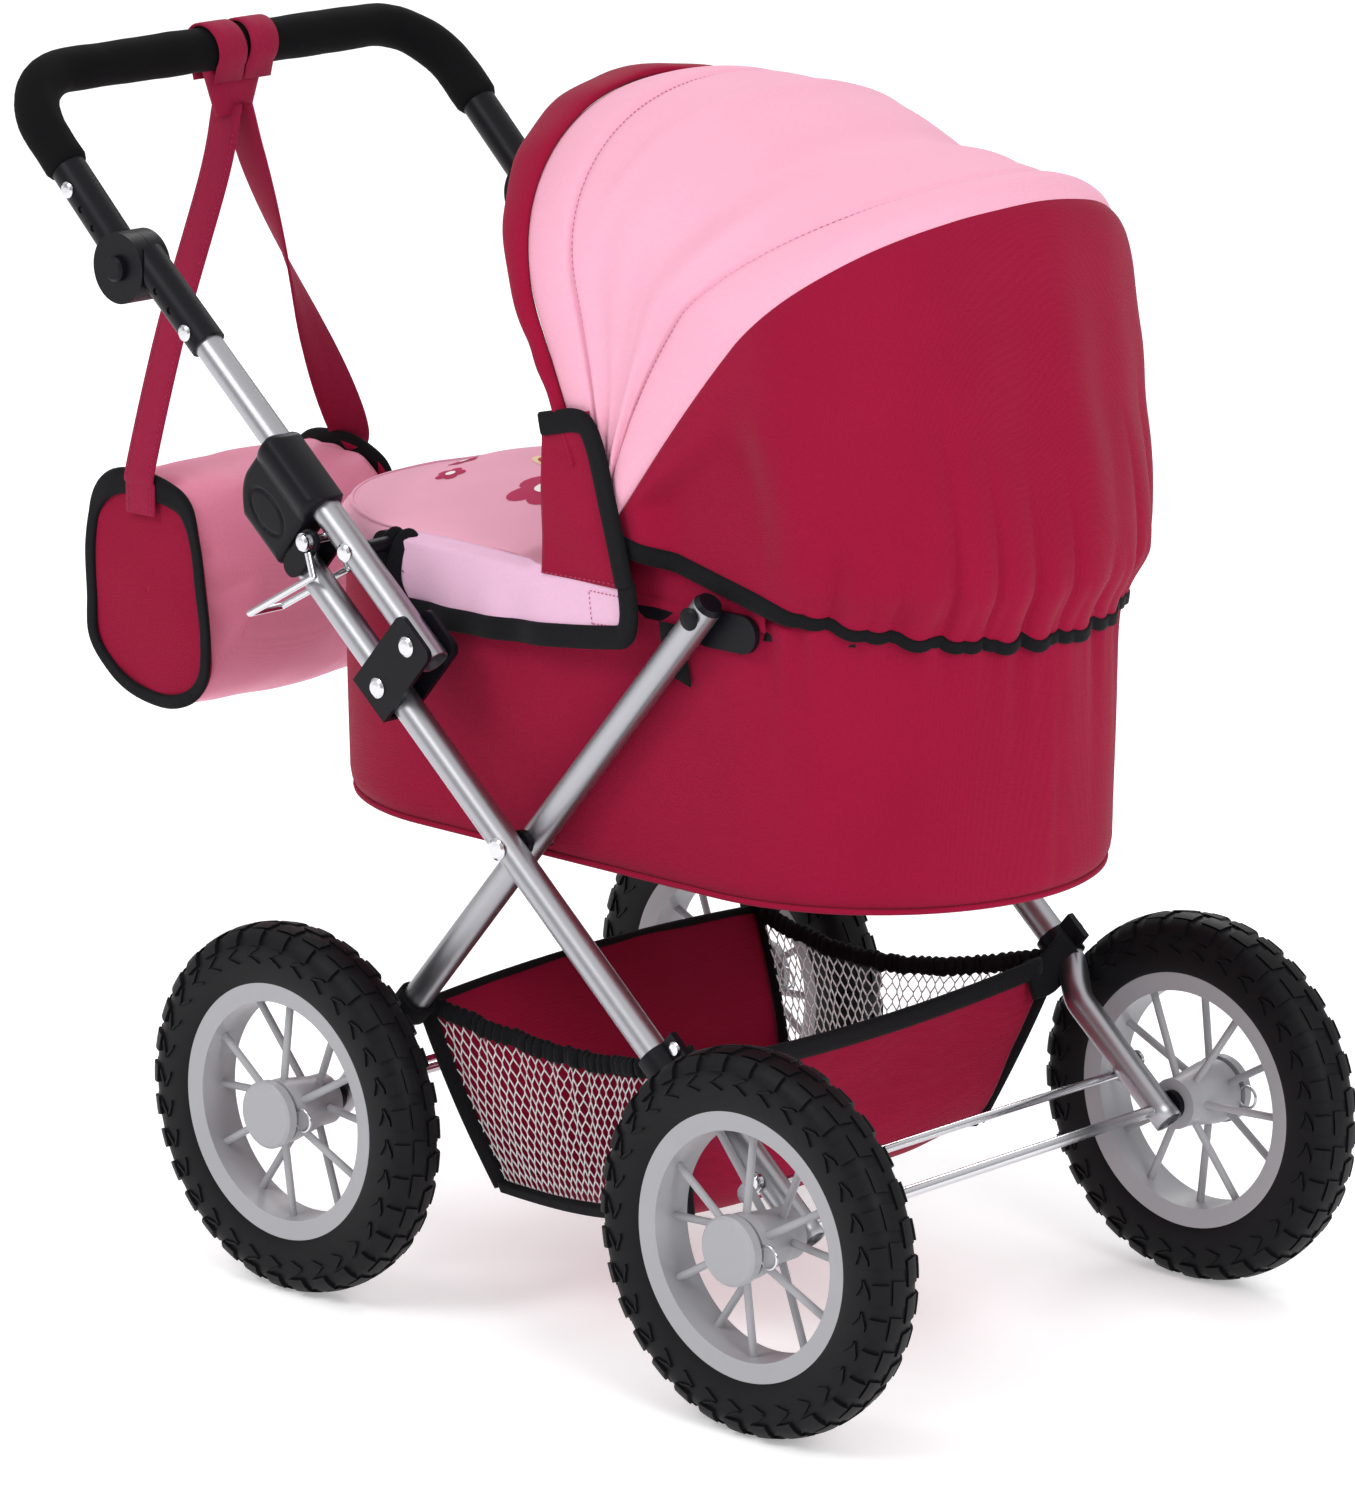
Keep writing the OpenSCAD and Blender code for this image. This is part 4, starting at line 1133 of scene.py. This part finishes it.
def patch_right(z):
    return np.interp(z, (390, 417, 455, 480, 504), (142, 139, 129, 121, 111))


def flap_y(x, z):
    base = 131.6 + 7.6 * ease((x + 10) / 95)
    wave = 1.5 * np.sin(x / 13 + 0.8 * np.sin(z / 14)) + 0.9 * np.sin(x / 6.1 + 2)
    return base + wave * ease((417 - z) / 40) * ease((110 - x) / 60) + 1.2 * np.sin((z - 378) / 39 * math.pi)


def side_flap(side_name, side):
    v, u = grid(34, 110)
    x = FLAP_REAR + (140 - FLAP_REAR) * u
    low, high = flap_bottom(x), 419.0
    z = low + (high - low) * v
    x = np.minimum(x, patch_right(z) - 1)
    y = flap_y(x, z)
    tuck = ease((v - 0.86) / 0.14) * ease((PATCH_LEFT - 4 - x) / 14)
    y = y - 5.5 * tuck
    flap = shell(f"cover_flap_{side_name}", column(x, side * y, z), 1.6, "apron_lilac", out=(0, side, 0))
    rides(flap, "cot", "apron_lilac")

    v, u = grid(40, 26)
    z = 415 + 84 * v + 6 * u * v
    x = PATCH_LEFT + (patch_right(z) - 1.5 - PATCH_LEFT) * u
    y = 140.2 + 1.3 * np.sin(u * math.pi) * np.sin(v * math.pi) + 0.5 * np.sin(z / 9 + x / 11)
    patch = shell(f"cover_patch_{side_name}", column(x, side * y, z), 1.6, "fabric_bordeaux",
                  out=(0, side, 0))
    rides(patch, "cot", "fabric_bordeaux")

    outline = [(PATCH_LEFT + 1, 494), (88, 496.5), (100, 499), (109, 497), (116, 485), (124, 459), (132, 432),
               (137.5, 412), (139, 400), (135.5, 391.5), (124, 388.5), (90, 384), (40, 379), (5, 377.5),
               (FLAP_REAR, 377)]
    path = spline([(x, 0, z) for x, z in outline], 220)
    on_flap = np.maximum(flap_y(path[:, 0], path[:, 2]), 131)
    path[:, 1] = side * np.where(path[:, 2] > 417, PATCH_Y, on_flap) + side * 0.3
    binding = tape(f"cover_binding_{side_name}", path, (0, side, 0), 12.5, 3.6, "binding_black")
    rides(binding, "cot", "binding_black")

    join = column(np.linspace(PATCH_LEFT, 134, 20), side * 141.6, np.linspace(416, 417.5, 20))
    lines = [stitches(f"flap_stitching_a_{side_name}", join, "thread_red")]
    corner = [(110, 411), (137.5, 411)], [(110, 411), (113, 393)], [(113, 394), (132, 395.5)]
    for k, ((x0, z0), (x1, z1)) in enumerate(corner):
        xs, zs = np.linspace(x0, x1, 16), np.linspace(z0, z1, 16)
        lines.append(stitches(f"flap_stitching_{k}_{side_name}",
                              column(xs, side * (flap_y(xs, zs) + 0.35), zs), "thread_pink", 2.6, 0.36))
    rides(joined(f"flap_stitching_{side_name}", lines), "cot", "apron_lilac")

    loops = []
    for k, (x0, wide) in enumerate(((-37, 9), (-47, 8))):
        loop = spline([(x0 + 2, 132, 379), (x0 - 3, 134, 392), (x0 - 1, 133, 408), (x0 + 4, 129, 416),
                       (x0 + 8, 129, 407), (x0 + 5, 131, 396)], 50)
        loop[:, 1] *= side
        loops.append(tape(f"binding_loop_{k}", loop, (0.3, side, 0.1), wide, 2.2, "binding_black"))
    rides(joined(f"cover_ties_{side_name}", loops), "cot", "binding_black")
    tab = column([[149, 158, 167], [151, 160, 168], [157, 164, 171]], side * 129.0,
                 [[399, 399, 399], [386, 384, 382], [372, 370, 368]])
    rides(shell(f"tub_tab_{side_name}", tab, 1.6, "binding_black", out=(0, side, 0)), "cot", "binding_black")


# ---- basket ----

REAR_TOP = (-24.0, 162.0, 130.0)
REAR_LOW = (18.0, 64.0, 114.0)
FRONT_LOW = (156.0, 80.0, 115.0)
FRONT_TOP = (184.0, 171.0, 147.0)


def basket_body(u, v):
    """The bordeaux sheet: u = 0..1 down the rear wall, along the floor and up the front; v = -1..1 across."""
    path = spline([REAR_TOP, (-3, 112, 122), REAR_LOW, (60, 62, 114), (110, 66, 114), FRONT_LOW,
                   (170, 122, 131), FRONT_TOP], 200)
    at = np.arange(200) / 199
    x, z, half = (np.interp(u, at, path[:, k]) for k in range(3))
    middle = 1 - v ** 2
    half -= 13 * ease((u - 0.955) / 0.045)
    rise = np.interp(u, (0, 0.16, 0.3, 0.68, 0.84, 1), (3.5, 1, -4.5, -4.5, -5, -8))
    bow = np.interp(u, (0, 0.2, 0.8, 1), (-4, 2, 3, -5))
    return column(x + bow * middle, v * half, z + rise * middle)


def basket_side(s, r, side):
    """The net: s = 0..1 from the rear to the front, r = 0..1 from the floor's edge up to the elastic."""
    def edge(rear, front, inwards, sag):
        x, z, half = (a + (b - a) * s for a, b in zip(rear, front))
        middle = np.sin(math.pi * s)
        return column(x, half - inwards * middle, z - sag * middle)

    low = edge(REAR_LOW, FRONT_LOW, 0, 6)
    high = edge(REAR_TOP, FRONT_TOP, 13, 15)
    p = low + (high - low) * np.asarray(r)[..., None]
    pucker = np.sin(s * 61 + 2 * np.sin(s * 13)) + 0.6 * np.sin(s * 97 + 1)
    p[..., 1] += (2.6 * np.sin(math.pi * np.clip(r, 0, 1)) + 0.9 * pucker * np.asarray(r) ** 0.7)
    return p * (1, side, 1)


def net(name, side):
    """Hexagonal cells of thread, as thin three-sided rods."""
    columns, rows = 34, 15
    points, faces = [], []
    width, height = 1.0 / columns, 1.0 / rows
    segments = set()

    def knot(i, j, k):
        """Corner k (0 upper, 1 lower) of cell column i and row j."""
        shift = 0.5 if j % 2 else 0.0
        return (round((i + shift) * width, 6), round((j + (0.30 if k else 0.0)) * height, 6))

    for j in range(rows):
        for i in range(columns):
            a, b = knot(i, j, 0), knot(i, j, 1)
            segments.add((a, b))
            shift = 0.5 if j % 2 else 0.0
            for step in (-0.5, 0.5):
                c = (round((i + shift + step) * width, 6), round((j + 1) * height, 6))
                if 0 <= c[0] <= 1:
                    segments.add((b, c))
    ends = np.array(sorted(segments))
    first = basket_side(ends[:, 0, 0], np.clip(ends[:, 0, 1], 0, 1), side)
    second = basket_side(ends[:, 1, 0], np.clip(ends[:, 1, 1], 0, 1), side)
    r = 0.5
    for a, b in zip(first, second):
        d = b - a
        size = np.linalg.norm(d)
        if size < 0.2:
            continue
        d /= size
        u = np.cross(d, (0, 1, 0))
        u /= np.linalg.norm(u) + 1e-9
        w = np.cross(d, u)
        base = len(points)
        for end in (a - d * 0.2, b + d * 0.2):
            for k in range(3):
                turn = k * 2 * math.pi / 3
                points.append(end + (u * math.cos(turn) + w * math.sin(turn)) * r)
        for k in range(3):
            q = (k + 1) % 3
            faces.append((base + k, base + q, base + 3 + q, base + 3 + k))
        faces += [(base + 2, base + 1, base), (base + 3, base + 4, base + 5)]
    return make(name, points, faces, "mesh_white")


def basket():
    u, v = np.meshgrid(np.linspace(0, 1, 110), np.linspace(-1, 1, 70), indexing="ij")
    p = basket_body(u, v)
    p += normals_of(p) * (lumps(p, 42, 15) * 2.2 * (1 - v ** 4))[..., None]
    middle = np.array([80.0, 0, 200])
    body = shell("basket_cloth", p, 1.4, "fabric_bordeaux", out=p - middle)
    line = np.linspace(0, 1, 90)
    across = np.linspace(-1, 1, 60)
    bindings = []
    for k, at in enumerate((0.0, 1.0)):
        path = basket_body(at + 0 * across, across) + (0, 0, -3.5)
        out = (-1, 0, 0.35) if at == 0 else (1, 0, -0.2)
        bindings.append(tape(f"edge_{k}", path, out, 12, 4.2, "binding_black"))
    nets = []
    for side_name, side in SIDES:
        for k, at in enumerate((0.0, 1.0)):
            path = basket_side(at + 0 * line, line, side)
            bindings.append(tape(f"edge_side_{k}_{side_name}", path, (0, side, 0.1), 11, 4, "binding_black"))
        path = basket_side(line, 0 * line, side) + (0, side * 0.5, 0)
        bindings.append(tape(f"edge_floor_{side_name}", path, (0, side, -0.4), 9, 3.6, "binding_black"))
        fine = np.linspace(0, 1, 260)
        path = basket_side(fine, 1 + 0 * fine, side)
        path[:, 1] += side * 0.8 * np.sin(fine * 230)
        thick = tape_section(10, 4.6)[None] * (1 + 0.13 * np.sin(fine * 260))[:, None, None]
        bindings.append(rings(f"edge_top_{side_name}", swept(path, thick, (0, side, 0)), "binding_black"))
        nets.append(net(f"basket_net_{side_name}", side))
        corner = basket_body(np.array([0.985]), np.array([side * 0.97]))[0]
        tab = spline([corner + (1.5, side * -6, -4), corner + (3, side * 8, -2), (190, side * 153, 177)], 12)
        bindings.append(tape(f"clamp_tab_{side_name}", tab, (1, 0, 0.3), 22, 3, "binding_black"))
        corner = basket_side(np.array([0.0]), np.array([1.0]), side)[0]
        ring = np.linspace(0, 2 * math.pi, 28, endpoint=False)
        cx, cz = chassis(9.6 * np.cos(ring), -142 + 0 * ring)
        loop = column(cx, side * (137 + 9.6 * np.sin(ring)), cz)
        bindings.append(tape(f"tube_loop_{side_name}", loop, (loop - loop.mean(0)), 12, 2.2,
                             "binding_black", True))
    binding = joined("basket_binding", bindings)
    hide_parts("basket")
    for obj in (body, binding, *nets):
        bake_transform(obj)


# ---- changing bag ----

BAG = np.array([-313.0, 14.0, 332.0])
BAG_LENGTH = 150.0
BAG_OUTLINE = ((-0.05, 0.99), (0.42, 0.93), (0.72, 0.80), (0.84, 0.5), (0.93, 0.1), (0.99, -0.35),
               (0.97, -0.68),
               (0.72, -0.92), (0.3, -1.02), (-0.2, -0.98), (-0.66, -0.82), (-0.96, -0.55), (-1.0, -0.15),
               (-0.99, 0.35), (-0.88, 0.72), (-0.55, 0.95))


def bag_outline(count, grow=0.0):
    return spline([(x * (50 + grow), 0, z * (64 + grow)) for x, z in BAG_OUTLINE], count, closed=True)


def bag():
    count = 120
    outline = bag_outline(count)
    y = np.concatenate([[-0.5, -0.497, -0.485, -0.46], np.linspace(-0.42, 0.42, 34),
                        [0.46, 0.485, 0.497, 0.5]])
    shrink = np.concatenate([[0.55, 0.9, 0.985, 1.0], np.ones(34), [1.0, 0.985, 0.9, 0.55]])
    p = np.zeros((len(y), count, 3))
    for i, (at, s) in enumerate(zip(y, shrink)):
        belly = 1 + 0.035 * math.cos(at * math.pi) if s >= 1 else s
        p[i] = outline * (belly, 1, belly) + (0, at * BAG_LENGTH, 0)
    p += BAG
    ring = np.arange(count) / count * 2 * math.pi
    crease = bell(np.abs(y), 0.5, 0.09)[:, None] * np.sin(ring * 15 + np.sin(ring * 4) * 2)[None]
    soft = lumps(p, 52, 21) * 2.4 + lumps(p, 24, 22) * 0.8
    middle = np.array([BAG[0], 0, BAG[2]])
    out = (p - middle) * (1, 0, 1)
    out /= np.linalg.norm(out, axis=-1, keepdims=True) + 1e-6
    side_wall = (shrink >= 0.985)[:, None]
    p += out * np.where(side_wall, crease + soft, 0)[..., None]
    body = inflate(rings("bag_roll", p, "satin_pink"), 5, 5)
    near, far = (BAG[1] - BAG_LENGTH / 2) * MM, (BAG[1] + BAG_LENGTH / 2) * MM
    for vertex in body.data.vertices:
        vertex.co.y = max(near, min(far, vertex.co.y))
    rides(body, "bag", "satin_pink", "bag_body")

    for name, side in (("near", -1), ("far", 1)):
        y_end = BAG[1] + side * (BAG_LENGTH / 2 + 0.6)
        shares = np.linspace(1.0, 0.002, 24)
        panel = np.array([bag_outline(count) * (s, 1, s) + (0, side * (1.6 * (1 - s ** 2)),
                                                            0) for s in shares])
        panel += (BAG[0], y_end, BAG[2])
        panel[..., 1] += side * lumps(panel, 40, 25) * 1.2
        end = shell(f"bag_end_{name}", panel, 1.2, "fabric_bordeaux", wrap=True, out=(0, side, 0))
        rides(end, "bag", "fabric_bordeaux")
        outer = bag_outline(160, -2.5) + (BAG[0], y_end + side * 1.2, BAG[2])
        outer[:, 1] += side * 0.35 * np.sin(np.arange(160) / 160 * 2 * math.pi * 9)
        thick = 8 + 7 * np.clip((outer[:, 2] - BAG[2] - 38) / 22, 0, 1)
        section = tape_section(1, 0.3)[None] * thick[:, None, None]
        band = swept(outer, section, (0, side, 0), True)
        rides(closed_sweep(f"bag_binding_{name}", band, "binding_black"), "bag", "binding_black")


STRAP_W = 24.0
KNOT_Y = 8.0


# Radius of the two turns of webbing round the grip.
STRAP_R = 14.2


def bag_strap():
    """One webbing strap, looped through itself over the grip, with a leg to each end panel."""
    pieces = []
    ring = np.linspace(-0.72 * math.pi, 0.72 * math.pi, 40)
    for k, y in enumerate((KNOT_Y - 12, KNOT_Y + 12)):
        arc = column(BAR[0] + STRAP_R * np.sin(ring), y + 1.5 * np.cos(ring) * (1 if k else -1),
                     BAR[2] + STRAP_R * np.cos(ring))
        ends = [arc[0] + (2.5, 0, -9), arc[-1] + (-2.5, 0, -9)]
        path = np.concatenate([[ends[0]], arc, [ends[1]]])
        outward = path - (BAR[0], y, BAR[2])
        outward[:, 1] = 0
        pieces.append(tape(f"strap_turn_{k}", path, outward, 21, 1.9, "webbing"))
    z_top = BAR[2] - 12
    around = np.linspace(0, 2 * math.pi, 40, endpoint=False)
    wrap = []
    for level in np.linspace(0, 1, 14):
        half = 22 - 9.5 * level
        deep = 6.4 - 2.2 * level
        square = np.sign(np.cos(around)) * np.abs(np.cos(around)) ** 0.5
        edge = 2.0 * np.cos(around) ** 2 * (1 - level)
        wrap.append(column(BAR[0] + deep * np.sin(around), KNOT_Y + half * square,
                           z_top - 1 - 26 * level + edge))
    wrap = np.array(wrap)
    pieces.append(shell("strap_knot", wrap, 1.4, "webbing", wrap=True,
                        out=wrap - (BAR[0], KNOT_Y, z_top - 14)))
    near_y = BAG[1] - BAG_LENGTH / 2 - 5.2
    far_y = BAG[1] + BAG_LENGTH / 2 + 5.2
    near = spline([(BAR[0] - 1, KNOT_Y - 3, z_top - 20), (BAR[0] - 1, KNOT_Y - 14, z_top - 60),
                   (BAR[0] - 1, -40, 480), (BAR[0] - 1, near_y + 1, 405),
                   (BAR[0] - 1, near_y, 392), (BAR[0] - 1, near_y, 376)], 90)
    pieces.append(tape("strap_near", near, (0, -1, 0.1), STRAP_W, 1.8, "webbing"))
    far = spline([(BAR[0] + 1, KNOT_Y + 3, z_top - 20), (BAR[0] + 1, KNOT_Y + 16, z_top - 60),
                  (BAR[0] + 1, 58, 480), (BAR[0] + 1, far_y - 1, 405),
                  (BAR[0] + 1, far_y, 392), (BAR[0] + 1, far_y, 376)], 90)
    twist = math.pi * ease(np.linspace(0, 1, 90) * 1.6 - 0.25)
    turned = column(np.sin(twist), np.cos(twist), 0.1 * np.cos(twist))
    pieces.append(tape("strap_far", far, turned, STRAP_W, 1.8, "webbing"))
    strap = joined("bag_webbing", pieces)
    rides(strap, "bag", "fabric_bordeaux", "bag_strap")
    rows = []
    for side, path in ((-1, near), (1, far)):
        for edge in (-9.5, 9.5):
            line = path[8:] + (edge, side * 1.2, 0)
            rows.append(stitches(f"strap_row_{side}_{edge}", line if side < 0 else line[60:], "thread_red",
                                 3.2, 0.34))
    rides(joined("strap_stitching", rows), "bag", "fabric_bordeaux")


for side_name, side in SIDES:
    main_tube(side_name, side)
    lock_housing(side_name, side)
tyres()
foam_grip()
tub_cloth()
mattress()
hood()
top = cover_top()
cover_print(top)
for side_name, side in SIDES:
    side_flap(side_name, side)
basket()
bag()
bag_strap()

# ---- camera, light and floor ----

CAMERA_AZ = math.radians(43.52)
CAMERA_EL = math.radians(14.18)
CAMERA_DISTANCE = 3.8164
CAMERA_LENS = 171.54
AXLE_MID_X = 93.0


def add_camera():
    back = Vector((math.sin(CAMERA_AZ) * math.cos(CAMERA_EL), -math.cos(CAMERA_AZ) * math.cos(CAMERA_EL),
                   math.sin(CAMERA_EL)))
    right = Vector((math.cos(CAMERA_AZ), math.sin(CAMERA_AZ), 0))
    up = back.cross(right)
    target = Vector((AXLE_MID_X * MM, 0, 0.2977)) - right * 0.0385
    data = bpy.data.cameras.new("camera")
    data.lens = CAMERA_LENS
    data.sensor_width = 36
    camera = bpy.data.objects.new("camera", data)
    bpy.context.scene.collection.objects.link(camera)
    camera.matrix_world = Matrix.Translation(target + back * CAMERA_DISTANCE) @ Matrix(
        (right, up, back)).transposed().to_4x4()
    bpy.context.scene.camera = camera


def add_light(name, place, aim, size, power):
    data = bpy.data.lights.new(name, "AREA")
    data.shape = "DISK"
    data.size = size
    data.energy = power
    light = bpy.data.objects.new(name, data)
    bpy.context.scene.collection.objects.link(light)
    light.location = place
    light.rotation_euler = (Vector(place) - Vector(aim)).to_track_quat("Z", "Y").to_euler()


def add_studio():
    world = bpy.data.worlds.new("studio")
    world.use_nodes = True
    tree = world.node_tree
    split = tree.nodes.new("ShaderNodeSeparateXYZ")
    rise = tree.nodes.new("ShaderNodeMapRange")
    for key, value in (("From Min", -0.1), ("From Max", 0.9), ("To Min", 0.3), ("To Max", 1.0)):
        rise.inputs[key].default_value = value
    tree.links.new(tree.nodes.new("ShaderNodeTexCoord").outputs["Generated"], split.inputs["Vector"])
    tree.links.new(split.outputs["Z"], rise.inputs["Value"])
    tree.links.new(rise.outputs["Result"], tree.nodes["Background"].inputs["Strength"])
    tree.nodes["Background"].inputs["Color"].default_value = (1, 1, 1, 1)
    bpy.context.scene.world = world
    bpy.context.scene.view_settings.view_transform = "Standard"
    add_light("key", (-0.6, -2.6, 2.7), (0, 0, 0.3), 1.5, 34)
    add_light("side", (3.0, -0.9, 1.7), (0, 0, 0.3), 1.4, 36)
    add_light("rim", (-1.6, 2.4, 2.2), (0, 0, 0.4), 1.2, 22)
    bpy.ops.mesh.primitive_grid_add(size=40, location=(0, 0, 0))
    floor = bpy.context.object
    floor.name = "floor"
    s = Shader("floor", 0.75, specular_ior=0.1)
    s.bsdf.inputs["Emission Color"].default_value = (1, 1, 1, 1)
    s.bsdf.inputs["Emission Strength"].default_value = 0.32
    s.colours(s.noise(2, 2), (243, 243, 245), (247, 247, 248))
    floor.data.materials.append(s.material)


add_camera()
add_studio()
